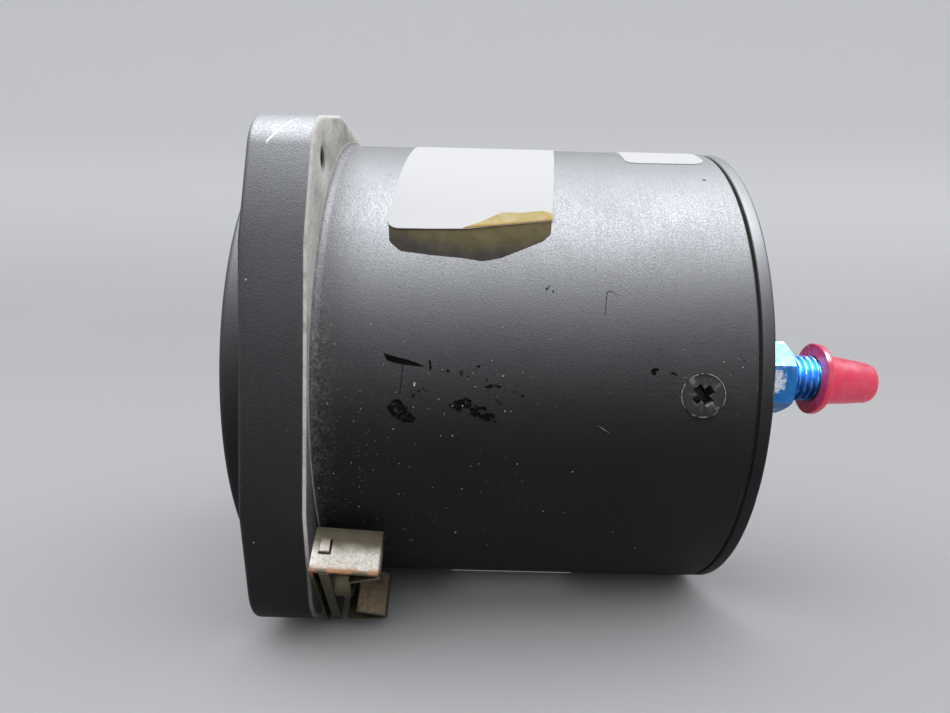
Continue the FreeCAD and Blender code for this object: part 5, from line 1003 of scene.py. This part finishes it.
class GAUGE_OT_cover(bpy.types.Operator):
    """Build the rear cover with its boss, its gasket and the three cross-recess screws"""

    bl_idname = "gauge.cover"
    bl_label = "Rear cover and screws"

    def execute(self, context):
        props = context.scene.gauge_case
        plate = [
            (0, BARREL_END), (34.4, BARREL_END), (34.4, 60.1), (37.4, 60.1, 0.2), (37.4, 71.9),
            (COVER, 71.9, 0.3), (COVER, COVER_BACK, 0.45), (0, COVER_BACK),
        ]
        boss = [
            (0, 72.9), (8.9, 72.9), (8.5, COVER_BACK), (8.15, 74.0), (8.0, 74.4), (8.0, 76.8, 0.4),
            (5.4, 76.8, 0.25), (4.9, 76.0), (4.9, 74.4), (0, 74.4),
        ]
        mesh = bmesh.new()
        add_turned(mesh, rounded_profile(plate), props.segments, closed=False)
        add_turned(mesh, rounded_profile(boss), 96, INLET, closed=False)
        cover = make_piece("cover", mesh, "case", black_cover_finish(props))
        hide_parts("rear_cover")

        mesh = bmesh.new()
        ring = [(37.55, BARREL_END), (39.2, BARREL_END), (39.2, 71.9), (37.55, 71.9)]
        add_turned(mesh, ring, props.segments)
        gasket = make_piece("cover_gasket_ring", mesh, "case", gasket_finish())
        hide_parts("cover_gasket")

        finish = screw_finish()
        for number, recess_turn in enumerate((39, 12, 71)):
            self.screw(number, recess_turn, finish)
        self.rims()
        return {"FINISHED"}

    def rims(self):
        """The thin pale ring round each screw head: worn metal, and a painted highlight round the
        head.
        """
        profile = [(2.98, 39.5), (3.1, 39.5), (3.12, 39.57), (3.06, 39.62), (2.99, 39.6)]
        mesh = bmesh.new()
        for number in range(3):
            known = set(mesh.verts)
            add_turned(mesh, profile, 96)
            ring = [vertex for vertex in mesh.verts if vertex not in known]
            bmesh.ops.transform(mesh, matrix=screw_matrix(number), verts=ring)
        f = Finish("screw_rim_wear_and_highlight", Specular_IOR_Level=0.4)
        worn = f.span(f.noise(1.3, 4, 0.7), 0.42, 0.58)
        # Painted highlight: pale patches on the ring stand in for the light its edge catches, and
        # look like wear
        f.set("Base Color", f.mix(worn, (0.012, 0.012, 0.011), (0.4, 0.38, 0.33)))
        f.set("Roughness", f.spread(f.noise(0.4, 3), 0.4, 0.6))
        make_piece("cover_screw_rims", mesh, "case", f.material)

    def screw(self, number, recess_turn, finish):
        """One countersunk screw with its cross recess, both drawn along +Y."""
        corners = [
            (0, 33.53), (1.7, 33.53), (1.7, 38.03), (3.07, 39.48, 0.06), (2.95, 39.56, 0.06),
            (0, 39.58),
        ]
        top, bottom = (3.5, 39.9, 1.35), (1.9, 38.2, 0.9)
        mesh = bmesh.new()
        add_turned(mesh, rounded_profile(corners, 3), 96, closed=False)
        name, place = f"cover_screw_{number + 1}", screw_matrix(number)
        piece = make_piece(name, mesh, "case", finish, place=place)
        for turn in (0, 90):
            tool = bmesh.new()
            wing = bmesh.ops.create_cube(tool, size=1)["verts"]
            for vertex in wing:
                length, depth, width = bottom if vertex.co.y < 0 else top
                vertex.co = (vertex.co.x * length, depth, vertex.co.z * width)
            spin = Matrix.Rotation(math.radians(recess_turn + turn), 4, "Y")
            bmesh.ops.transform(tool, matrix=spin, verts=wing)
            bmesh.ops.recalc_face_normals(tool, faces=tool.faces)
            cut_piece(piece, make_piece("recess", tool, place=place), sharp=30)
        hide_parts("cover_screws")


class GAUGE_OT_window(bpy.types.Operator):
    """Build the glass, its gasket and the retaining ring with its gap"""

    bl_idname = "gauge.window"
    bl_label = "Window"

    def execute(self, context):
        mesh = bmesh.new()
        corners = [(0, -0.6), (36.95, -0.6, 0.35), (36.95, 2.6, 0.2), (0, 2.6)]
        add_turned(mesh, rounded_profile(corners), 192, closed=False)
        glass = make_piece("window_pane", mesh, "case", glass_finish())
        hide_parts("cover_glass")

        mesh = bmesh.new()
        add_turned(mesh, [(35.0, 2.6), (36.95, 2.6), (36.95, 3.6), (35.0, 3.6)], 192)
        gasket = make_piece("window_gasket", mesh, "case", rubber_finish())
        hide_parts("glass_gasket")

        corners = [(33.4, -2.0, 0.2), (37.8, -2.0, 0.1), (37.8, -0.6, 0.1), (33.4, -0.6, 0.1)]
        mesh = bmesh.new()
        profile = rounded_profile(corners, 3)
        add_turned(mesh, profile, 186, start=-84, sweep=348)
        finish = metal_finish("ring_black_steel", (0.06, 0.06, 0.062), (0.03, 0.03, 0.03), 0.42)
        ring = make_piece("window_ring", mesh, "case", finish)
        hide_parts("retaining_ring")
        return {"FINISHED"}


class GAUGE_OT_dial(bpy.types.Operator):
    """Paint the dial: its ticks and its plain numbers, and finish the pointer"""

    bl_idname = "gauge.dial"
    bl_label = "Dial and pointer"

    # The ticks' spacing in units, inner end and half width, the longest first
    ticks = ((10, 27.6, 0.42), (5, 28.4, 0.28), (1, 29.6, 0.16))
    ticks_end = 31.8
    numbers_radius = 23.2
    sweep = 300

    def execute(self, context):
        props = context.scene.gauge_dial
        white = paint_finish("dial_white", (0.86, 0.85, 0.8), (0.74, 0.72, 0.62))
        set_finish("dial_plate", dial_finish())
        first, last = props.first_value, props.last_value
        turns = {}
        for value in range(first, last + 1):
            turns[value] = math.radians((value - (first + last) / 2) * self.sweep / (last - first))
        mesh = bmesh.new()
        for value, turn in turns.items():
            inner, half = next(size for step, *size in self.ticks if not value % step)
            self.tick(mesh, turn, inner, self.ticks_end, half)
        for side in (-1, 1):
            turn = math.radians(side * self.sweep / 2)
            self.tick(mesh, turn, self.ticks_end, self.ticks_end + 0.3, 0.42)
        make_piece("dial_ticks", mesh, "case", white)
        for value in range(first, last + 1, 10):
            self.number(str(value), turns[value], props.number_height, white)
        set_finish("pointer", self.pointer_finish())
        brass = metal_finish("hub_brass", (0.78, 0.6, 0.3), (0.5, 0.36, 0.18), 0.3)
        set_finish("pointer_hub", brass)
        soften(frame["nodes"]["pointer"], 0.00006)
        return {"FINISHED"}

    def tick(self, mesh, turn, inner, outer, half):
        verts = bmesh.ops.create_cube(mesh, size=1)["verts"]
        shape = Matrix.Diagonal((half * 2, 0.04, outer - inner, 1))
        lift = Matrix.Translation((0, DIAL_FACE, (inner + outer) / 2))
        spin = Matrix.Rotation(turn, 4, "Y")
        bmesh.ops.transform(mesh, matrix=spin @ lift @ shape, verts=verts)

    def number(self, text, turn, height, finish):
        """One number as thin raised paint, from Blender's own font."""
        curve = bpy.data.curves.new(f"number_{text}", "FONT")
        curve.body = text
        curve.size = height * 1.36
        curve.align_x = "CENTER"
        curve.align_y = "CENTER"
        curve.extrude = 0.00002
        curve.offset = 0.00008
        holder = bpy.data.objects.new(f"number_{text}_text", curve)
        bpy.context.scene.collection.objects.link(holder)
        bpy.context.view_layer.update()
        depsgraph = bpy.context.evaluated_depsgraph_get()
        data = bpy.data.meshes.new_from_object(holder.evaluated_get(depsgraph))
        bpy.data.objects.remove(holder)
        reach = self.numbers_radius * MM
        place = Matrix.Translation((reach * math.sin(turn), DIAL_FACE * MM, reach * math.cos(turn)))
        data.transform(place @ Matrix.Rotation(math.radians(90), 4, "X"))
        piece = bpy.data.objects.new(f"dial_number_{text}", data)
        bpy.context.scene.collection.objects.link(piece)
        data.materials.clear()
        data.materials.append(finish)
        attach(piece, "case")

    def pointer_finish(self):
        """White blade, with the wide tail painted black so that it doesn't mislead."""
        f = Finish("pointer_paint", Specular_IOR_Level=0.35)
        age = f.span(f.noise(1.8, 4, 0.6), 0.4, 0.7)
        white = f.mix(age, (0.88, 0.87, 0.82), (0.76, 0.73, 0.62))
        blade = f.span(f.z, 3.1, 3.3)
        f.set("Base Color", f.mix(blade, (0.012, 0.012, 0.012), white))
        f.set("Roughness", f.spread(f.noise(0.3, 2), 0.5, 0.68))
        f.set("Normal", f.grain(f.noise(0.15, 2), 0.006, 0.5))
        return f.material


def set_finish(node, finish):
    """Gives a CAD node its finish."""
    data = frame["nodes"][node].data
    data.materials.clear()
    data.materials.append(finish)


def soften(item, width, angle=35, harden=True):
    """Rounds the edges of a node or a piece a little."""
    step = item.modifiers.new("soft_edges", "BEVEL")
    step.width = width
    step.segments = 2
    step.limit_method = "ANGLE"
    step.angle_limit = math.radians(angle)
    step.harden_normals = harden


class GAUGE_OT_movement(bpy.types.Operator):
    """Finish the mechanism: brass plates, steel shafts, bronze capsules and the hairspring"""

    bl_idname = "gauge.movement"
    bl_label = "Mechanism"

    # Each metal's colour, tarnish and roughness, and how its grain is stretched
    metals = {
        "brass_plate": ((0.77, 0.58, 0.29), (0.5, 0.35, 0.17), 0.34, (1, 1, 0.08)),
        "brass_turned": ((0.8, 0.61, 0.31), (0.52, 0.37, 0.18), 0.28, (1, 0.1, 1)),
        "steel_polished": ((0.62, 0.62, 0.63), (0.36, 0.35, 0.34), 0.26, (1, 0.1, 1)),
        "steel_screws": ((0.5, 0.5, 0.51), (0.22, 0.22, 0.23), 0.34),
        "bush_bronze": ((0.62, 0.42, 0.24), (0.35, 0.22, 0.12), 0.36),
        "spring_bronze": ((0.76, 0.52, 0.3), (0.5, 0.3, 0.16), 0.22),
        "capsule_bronze": ((0.74, 0.54, 0.34), (0.45, 0.3, 0.18), 0.3, (1, 6, 1)),
    }
    groups = {
        "brass_plate": (
            "front_plate", "middle_plate", "rear_plate", "sector_gear", "follower_arm",
            "lift_arm", "rocker_brackets",
        ),
        "brass_turned": (
            "dial_posts", "short_pillars", "long_pillars", "sector_hub", "hairspring_collet",
            "balance_arm", "balance_weight", "centre_post", "capsule_hubs", "capsule_base_stud",
            "capsule_nut", "inlet_restrictor",
        ),
        "steel_polished": (
            "pinion_staff", "sector_shaft", "rocking_shaft", "drive_arm", "lift_arm_pin",
            "lift_link", "link_pin", "hairspring_stud", "pivot_screws",
        ),
        "steel_screws": (
            "dial_screws", "front_frame_screws", "rear_frame_screws", "mechanism_screws",
            "bracket_screws",
        ),
        "bush_bronze": ("staff_bearings", "sector_bearings"),
        "spring_bronze": ("hairspring",),
        "capsule_bronze": ("aneroid_capsules",),
    }

    def execute(self, context):
        for name, nodes in self.groups.items():
            finish = metal_finish(name, *self.metals[name])
            for node in nodes:
                set_finish(node, finish)
        for node in ("front_plate", "middle_plate", "rear_plate", "rocker_brackets"):
            soften(frame["nodes"][node], 0.0001)
        return {"FINISHED"}


class GAUGE_OT_inlet(bpy.types.Operator):
    """Build the blue fitting: pipe thread, hexagon, undercut, flare thread and nose"""

    bl_idname = "gauge.inlet"
    bl_label = "Pressure fitting"

    def execute(self, context):
        finish = blue_anodised_finish(context.scene.gauge_inlet)
        piece = self.hexagon(finish)
        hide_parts("pressure_fitting")
        body = [
            (0, 69.8), (4.5, 69.8), (4.78, 79.2), (4.6, 79.4), (3.3, 79.8), (3.3, 87.0),
            (3.28, 92.0), (3.3, 92.9), (1.7, 95.9), (1.1, 95.9), (1.1, 90.4), (0, 90.4),
        ]
        mesh = bmesh.new()
        add_turned(mesh, body, 96, INLET, closed=False)
        add_thread(mesh, INLET, 5.0, 4.42, 0.94, 71.4, 79.3)
        add_thread(mesh, INLET, 3.97, 3.34, 1.058, 86.6, 92.3)
        core = make_piece("fitting_core", mesh, "case", finish, sharp=50)
        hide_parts("pressure_fitting")
        return {"FINISHED"}

    def hexagon(self, finish):
        """A hexagon cut by a cone at both ends. It is longer than its place before the cut."""
        flats, turn, start, end = 11.11, 84.2, 79.1, 86.6
        corner = flats / 2 / math.cos(math.radians(30))
        spots = arc_points(INLET, corner, turn, turn + 300, 5)
        mesh = bmesh.new()
        rings = []
        for place in (start - 0.5, end + 0.5):
            rings.append([mesh.verts.new((spot.x, place, spot.y)) for spot in spots])
        join_rings(mesh, rings)
        mesh.faces.new(rings[0])
        mesh.faces.new(rings[1])
        bmesh.ops.recalc_face_normals(mesh, faces=mesh.faces)
        piece = make_piece("fitting_hexagon", mesh, "case", finish, sharp=20)
        limit = bmesh.new()
        cone = [(0, start), (5.4, start), (6.7, 79.75), (6.7, 85.95), (5.4, end), (0, end)]
        add_turned(limit, cone, 128, INLET, closed=False)
        cut_piece(piece, make_piece("limit", limit), "INTERSECT", sharp=20)
        soften(piece, 0.00012, angle=18, harden=False)
        return piece


class GAUGE_OT_cap(bpy.types.Operator):
    """Build the red push-on cap with its flange, sagging a little on the fitting"""

    bl_idname = "gauge.cap"
    bl_label = "Cap"

    def execute(self, context):
        props = context.scene.gauge_inlet
        outer = [
            (4.07, 0, 0.15), (6.3, 0, 0.25), (6.35, 1.15, 0.35), (4.5, 1.2, 0.4), (4.35, 2.4),
            (3.95, 6.5), (3.5, 9.7, 0.4), (3.1, 10.6, 0.4), (2.2, 10.35, 0.2), (0, 10.3),
        ]
        inner = [(0, 9.4), (2.7, 9.35), (3.0, 7.0), (3.64, 1.8), (4.07, 1.75)]
        mesh = bmesh.new()
        add_turned(mesh, [*rounded_profile(outer, 4), *inner], 96)
        for vertex in mesh.verts:
            x, y, z = vertex.co
            if y < 1.3 and math.hypot(x, z) > 5:
                angle = math.atan2(z, x)
                wave = 0.045 * math.sin(3 * angle + 0.6) + 0.0225 * math.sin(7 * angle)
                shrink = 1 - 0.012 * (1 + math.sin(5 * angle + 1))
                vertex.co = (x * shrink, y + wave, z * shrink)
        fitted = Matrix.Translation((INLET[0], 91.3, INLET[1]))
        place = fitted @ Matrix.Rotation(-props.droop, 4, "X")
        finish = red_cap_finish(props)
        cap = make_piece("cap_shell", mesh, "cap", finish, sharp=50, place=place)
        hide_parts("fitting_cap")
        return {"FINISHED"}


class GAUGE_OT_clip(bpy.types.Operator):
    """Finish the clip nut on the flange's lower right ear"""

    bl_idname = "gauge.clip"
    bl_label = "Clip nut"

    def execute(self, context):
        props = context.scene.gauge_clip
        finish = bronze_clip_finish(props)
        for node in ("clip_nut_cage", "clip_nut_plate"):
            set_finish(node, finish)
            soften(frame["nodes"][node], props.softening)
        return {"FINISHED"}


class GAUGE_OT_labels(bpy.types.Operator):
    """Lay the bare white labels round the barrel, with one folded edge and a painted shadow under
    the lifted front label
    """

    bl_idname = "gauge.labels"
    bl_label = "Bare labels"

    def execute(self, context):
        props = context.scene.gauge_labels
        paper = label_finish(props)
        thick = props.thickness / MM
        front = [
            (23.8, 118, 2.0), (47.6, 118, 2.0), (43.0, 36.0, 0.2), (39.3, 35.2, 0),
            (34.3, 34.1, 0.5), (30.6, 33.1, 1.5), (25.2, 32.8, 1.5), (18.8, 32.7, 1.7),
        ]
        rear = [(56.6, 104, 1.6), (69.9, 104, 2.6), (69.5, 61.0, 2.6), (56.2, 60.6, 1.6)]
        under = [(28.9, -66.6, 0.5), (50.4, -66.6, 0.5), (50.4, -100, 0.5), (28.9, -100, 0.5)]
        fold = [
            (30.0, 33.1, 0), (34.3, 34.05, 0.3), (39.3, 35.15, 0.3), (43.05, 35.95, 0.2),
            (43.1, 37.6, 0.5), (41.5, 38.2, 0.5), (38.3, 37.5, 0.8), (35.6, 37.6, 0.5),
            (32.5, 35.0, 0.8),
        ]
        # Outline of the painted shadow and reflection below the front label's lifted edge
        shadow_outline = [
            (19.1, 34.5, 0), (43.0, 37.0, 0), (42.7, 32.4, 0.8), (41.6, 30.6, 0.8),
            (38.7, 28.5, 2.0), (35.5, 26.3, 2.0), (33.0, 25.4, 1.5), (29.9, 26.1, 2.0),
            (25.5, 26.6, 2.0), (21.1, 27.4, 1.5), (19.5, 29.6, 1.2),
        ]
        self.lay("label_front", front, paper, LABEL_LIFT, thick, lift=lifted_edge)
        self.lay("label_rear", rear, paper, LABEL_LIFT, thick)
        self.lay("label_under", under, paper, LABEL_LIFT, thick)
        stained = backing_finish(props)
        self.lay("label_fold", fold, stained, LABEL_LIFT + thick, thick, lift=turned_up, cell=0.5)
        self.lay("label_glue", shadow_outline, glue_finish(), LABEL_SHADOW_LIFT, 0.02, slot="brown_fibre")
        return {"FINISHED"}

    def lay(self, name, outline, finish, above, thick, slot="pointer_white", **shape):
        """Lays one sheet on the barrel, drawn as corners of (place, angle, rounding)."""
        mesh = bmesh.new()
        add_wrapped(mesh, rounded_outline(outline), BARREL + above, thick, **shape)
        make_piece(name, mesh, "case", finish, sharp=60)


class GAUGE_OT_marks(bpy.types.Operator):
    """Add the black residue, the scratches and the loose dust on the barrel"""

    bl_idname = "gauge.marks"
    bl_label = "Marks and dust"

    # Outlines on the barrel, as (place, angle) corners
    smears = (
        (
            (19.6, 5.8), (19.8, 5.6), (21.9, 4.8), (23.0, 4.5), (24.0, 4.0), (25.2, 3.3),
            (25.0, 3.2), (23.1, 3.4), (21.4, 3.7), (20.1, 4.3), (19.7, 5.2),
        ),
        ((25.85, 4.5), (26.15, 4.5), (26.2, 2.7), (25.95, 2.5)),
        ((22.26, 3.6), (22.36, 3.6), (21.95, -2.4), (21.87, -2.4)),
        ((33.5, -0.6), (34.2, -0.2), (34.5, 0.1), (34.7, -0.6), (34.1, -0.8)),
        ((56.4, 3.5), (56.8, 4.0), (57.5, 4.0), (57.5, 3.5), (57.1, 3.4), (57.2, 2.7), (56.7, 2.6)),
        ((59.1, 3.2), (59.6, 3.3), (60.1, 2.8), (59.9, 2.6), (59.4, 3.0), (59.1, 3.0)),
        (
            (50.0, 14.4), (50.07, 14.4), (50.4, 19.0), (50.8, 19.5), (52.2, 18.4), (50.8, 19.62),
            (50.3, 19.1),
        ),
        ((67.2, 52.2), (67.7, 52.3), (67.8, 51.8), (67.3, 51.7)),
        ((32.4, 3.6), (32.9, 3.7), (32.9, 3.3), (32.4, 3.3)),
    )
    grainy = (
        (
            (21.2, -3.5), (22.0, -3.6), (22.6, -4.9), (23.5, -5.0), (23.2, -5.6), (23.6, -6.7),
            (24.1, -7.3), (24.0, -8.1), (22.0, -8.2), (21.5, -7.5), (20.6, -6.5), (20.3, -5.6),
            (20.1, -5.4), (20.4, -4.7), (20.8, -3.9),
        ),
        (
            (28.6, -4.4), (29.3, -4.0), (29.6, -3.4), (30.6, -3.1), (31.0, -2.8), (32.0, -3.5),
            (32.7, -4.6), (33.6, -4.5), (34.5, -5.5), (35.2, -6.2), (34.9, -7.3), (35.6, -7.8),
            (34.2, -7.6), (32.8, -7.1), (31.4, -6.1), (31.7, -5.1), (30.8, -4.8), (30.2, -5.9),
            (29.5, -5.3), (28.8, -4.7),
        ),
    )
    faint = (
        (
            (26.2, 3.5), (30.9, 2.4), (35.2, 0.5), (39.3, -2.2), (39.3, -2.8), (35.2, -0.5),
            (30.9, 1.5), (26.2, 3.0),
        ),
        ((33.4, -0.8), (36.4, -2.6), (36.0, -4.2), (33.6, -2.6)),
        ((41.8, 20.3), (43.2, 20.7), (42.9, 18.9), (42.2, 18.0), (41.8, 19.0)),
        ((23.2, -2.0), (26.4, -0.4), (26.4, -1.2), (23.6, -3.0)),
    )
    # Two ends and a width
    scratches = (
        ((49.4, -7.8), (51.4, -9.7), 0.07),
        ((39.1, -20.7), (39.7, -21.2), 0.05),
        ((41.9, 19.0), (42.4, 20.6), 0.05),
        ((28.1, -5.8), (28.1, -6.7), 0.06),
        ((60.3, 2.4), (63.0, 2.0), 0.03),
        ((67.1, 2.9), (67.6, 3.1), 0.05),
    )
    # The flakes that can be told apart in the photograph, as (place, angle, size)
    loose_flakes = 1100
    flakes = (
        (23.9, -0.2, 0.2), (23.9, -0.6, 0.15), (27.7, 2.7, 0.11), (36.5, -5.4, 0.12),
        (37.3, -5.4, 0.13), (29.2, -4.6, 0.13), (30.6, -4.5, 0.12), (23.8, -5.0, 0.1),
        (21.0, -9.7, 0.12), (36.1, 1.7, 0.13), (34.5, 4.7, 0.1), (32.3, -0.6, 0.08),
        (31.3, 0.8, 0.08), (25.8, 1.9, 0.12), (60.9, 7.8, 0.11), (66.5, 5.6, 0.14),
        (69.1, 4.6, 0.1), (69.8, 5.8, 0.07),
    )

    def execute(self, context):
        black = tar_finish()
        mesh = bmesh.new()
        for outline in self.smears:
            add_smear(mesh, outline, 0.07, 9)
        for number, outline in enumerate(self.grainy):
            add_smear(mesh, outline, 0.13, 0.16, number * 3.1)
        for number, outline in enumerate(self.faint):
            add_smear(mesh, outline, 0.09, -0.42, number * 5.3 + 1)
        make_piece("case_residue", mesh, "case", black, sharp=60)

        mesh = bmesh.new()
        for first, last, width in self.scratches:
            start = Vector((first[0], first[1] * PER_DEGREE))
            end = Vector((last[0], last[1] * PER_DEGREE))
            side = (end - start).normalized() * width / 2
            side = Vector((-side.y, side.x))
            corners = []
            for spot in (start, (start + end) / 2 - side, end, (start + end) / 2 + side):
                spot = around(BARREL + SCRATCH_LIFT, spot.y / BARREL, spot.x)
                corners.append(mesh.verts.new(spot))
            mesh.faces.new(corners)
        for place, angle, size in self.flakes:
            add_flake(mesh, place, angle, size, place * 7)
        chance = random.Random(41)
        for _ in range(self.loose_flakes):
            place = FLANGE_BACK + 1.4 + min(59.0, chance.expovariate(1 / 11))
            angle = chance.uniform(-75, 190)
            size = 0.025 + min(0.09, chance.expovariate(1 / 0.018))
            add_flake(mesh, place, angle, size, chance.uniform(0, 6.3), chance.uniform(1, 1.8))
        make_piece("case_dust", mesh, "case", flake_finish(), sharp=60)
        return {"FINISHED"}


class GAUGE_OT_stage(bpy.types.Operator):
    """Build the floor and backdrop, the lamps, the room light and the camera"""

    bl_idname = "gauge.stage"
    bl_label = "Stage"

    def execute(self, context):
        props = context.scene.gauge_stage
        context.scene.view_settings.view_transform = "Standard"
        self.backdrop(props)
        self.lamps(props)
        self.room(context, props)
        self.camera(context)
        return {"FINISHED"}

    def backdrop(self, props):
        """One sheet: the floor under the gauge, which rests on flange and cover, and a sweep."""
        lean = math.atan2(HALF_FLANGE - COVER, 73.0 - 8.5)
        front, back, bend, height, half = 600, -420, 260, 1500, 1500
        line = [(front, 0), (back, 0)]
        for step in range(1, 13):
            angle = math.pi / 2 * step / 12
            line.append((back - bend * math.sin(angle), bend * (1 - math.cos(angle))))
        line.append((back - bend, height))
        mesh = bmesh.new()
        rows = [[mesh.verts.new((x, y, z)) for y in (-half, half)] for x, z in line]
        join_rings(mesh, rows, closed=False)
        place = Matrix.Translation((0, 8.9, -41.3)) @ Matrix.Rotation(lean, 4, "X")
        f = Finish("backdrop_paper", Specular_IOR_Level=0.0)
        cloud = f.spread(f.noise(220, 2, 0.5), 0, 0.03)
        paler = f.plus(f.span(f.z, -30, 180, 0, 1), cloud)
        f.set("Base Color", f.mix(paler, tuple(props.floor), (0.86, 0.86, 0.86)))
        f.set("Roughness", 0.85)
        sheet = make_piece("floor_sweep", mesh, finish=f.material, sharp=60, place=place)

    def lamps(self, props):
        """A soft lamp above, and one that only adds the sheen that black enamel shows."""
        self.lamp("lamp_overhead", (-0.02, 0.035, 0.9), (0.9, 0.9), props.lamp)
        out, height = 0.08, 0.35
        sheen = self.lamp("lamp_sheen", (out, 0.035, height), (0.128, 0.5), props.sheen)
        sheen.rotation_euler = (0, math.atan2(out, height), 0)
        sheen.visible_diffuse = False
        sheen.data.color = (0.95, 0.98, 1.05)
        glossy = bpy.data.collections.new("sheen_receivers")
        for item in bpy.data.objects:
            if item.name in SHEEN_PIECES:
                glossy.objects.link(item)
        sheen.light_linking.receiver_collection = glossy

    def lamp(self, name, place, size, power):
        light = bpy.data.lights.new(name, "AREA")
        light.shape = "RECTANGLE"
        light.size, light.size_y = size
        light.energy = power
        lamp = bpy.data.objects.new(name, light)
        bpy.context.scene.collection.objects.link(lamp)
        lamp.location = place
        lamp.visible_camera = False
        return lamp

    def room(self, context, props):
        """Room light: bright above and dim at the level of the gauge, where it is seen as pale."""
        world = bpy.data.worlds.new("room")
        context.scene.world = world
        world.use_nodes = True
        w = Nodes(world.node_tree)
        source = w.node("ShaderNodeTexCoord").outputs["Generated"]
        height = w.node("ShaderNodeSeparateXYZ", {0: source}).outputs[2]
        ramp = w.node("ShaderNodeValToRGB", {0: w.span(height, -1, 1, smooth=False)})
        stops = ((0.0, 0.16), (0.5, 0.16), (0.67, 0.58), (0.85, 1.0), (1.0, 1.0))
        while len(ramp.color_ramp.elements) < len(stops):
            ramp.color_ramp.elements.new(0.5)
        for element, (place, level) in zip(ramp.color_ramp.elements, stops):
            element.position = place
            element.color = (level * 0.97, level * 0.985, level * 1.03, 1)
        inputs = {0: ramp.outputs[0], "Strength": props.sky}
        shade = w.node("ShaderNodeBackground", inputs).outputs[0]
        pale = w.node("ShaderNodeBackground", {0: (0.74, 0.745, 0.76)}).outputs[0]
        rays = w.node("ShaderNodeLightPath").outputs
        seen = w.over(rays["Is Camera Ray"], rays["Is Glossy Ray"], rays["Is Transmission Ray"])
        share = w.times(seen, w.span(height, 0.35, 0.0, smooth=False))
        both = w.node("ShaderNodeMixShader", {0: share, 1: shade, 2: pale}).outputs[0]
        w.node("ShaderNodeOutputWorld", {0: both})

    def camera(self, context):
        """The photograph's camera, as right, up and back axes and a place in metres."""
        view = bpy.data.cameras.new("camera")
        view.sensor_width, view.lens = 36, 24.916
        view.clip_start, view.clip_end = 0.005, 20
        camera = bpy.data.objects.new("camera", view)
        context.scene.collection.objects.link(camera)
        right = (0.000903, 0.999691, 0.024839)
        up = (-0.081304, -0.024683, 0.996384)
        back = (0.996689, -0.002919, 0.081257)
        place = (0.129654, 0.031895, 0.011115)
        turn = Matrix((right, up, back)).transposed().to_4x4()
        camera.matrix_world = Matrix.Translation(place) @ turn
        context.scene.camera = camera


class GAUGE_PT_panel(bpy.types.Panel):
    """Lists the settings and the steps in the 3D view's sidebar"""

    bl_idname = "GAUGE_PT_panel"
    bl_label = "Manifold pressure gauge"
    bl_space_type = "VIEW_3D"
    bl_region_type = "UI"
    bl_category = "Gauge"

    def draw(self, context):
        for title, name, steps in GROUPS:
            box = self.layout.box()
            box.label(text=title)
            settings = getattr(context.scene, name, None)
            if settings is not None:
                for field in settings.__annotations__:
                    box.prop(settings, field)
            for step in steps:
                box.operator(step)


GROUPS = (
    ("Case", "gauge_case", ("gauge.case", "gauge.cover", "gauge.window")),
    ("Dial", "gauge_dial", ("gauge.dial", "gauge.movement")),
    ("Inlet", "gauge_inlet", ("gauge.inlet", "gauge.cap")),
    ("Clip nut", "gauge_clip", ("gauge.clip",)),
    ("Labels", "gauge_labels", ("gauge.labels", "gauge.marks")),
    ("Stage", "gauge_stage", ("gauge.stage",)),
)
SETTINGS = {
    "gauge_case": GaugeCaseSettings,
    "gauge_labels": GaugeLabelSettings,
    "gauge_inlet": GaugeInletSettings,
    "gauge_clip": GaugeClipSettings,
    "gauge_dial": GaugeDialSettings,
    "gauge_stage": GaugeStageSettings,
}
CLASSES = (
    *SETTINGS.values(),
    GAUGE_OT_case,
    GAUGE_OT_cover,
    GAUGE_OT_window,
    GAUGE_OT_dial,
    GAUGE_OT_movement,
    GAUGE_OT_inlet,
    GAUGE_OT_cap,
    GAUGE_OT_clip,
    GAUGE_OT_labels,
    GAUGE_OT_marks,
    GAUGE_OT_stage,
    GAUGE_PT_panel,
)


def register():
    for item in CLASSES:
        bpy.utils.register_class(item)
    for name, group in SETTINGS.items():
        setattr(bpy.types.Scene, name, PointerProperty(type=group))


def unregister():
    for name in SETTINGS:
        delattr(bpy.types.Scene, name)
    for item in reversed(CLASSES):
        bpy.utils.unregister_class(item)


def main():
    register()
    bpy.ops.gauge.case()
    bpy.ops.gauge.cover()
    bpy.ops.gauge.window()
    bpy.ops.gauge.dial()
    bpy.ops.gauge.movement()
    bpy.ops.gauge.inlet()
    bpy.ops.gauge.cap()
    bpy.ops.gauge.clip()
    bpy.ops.gauge.labels()
    bpy.ops.gauge.marks()
    bpy.ops.gauge.stage()


if __name__ == "__main__":
    main()
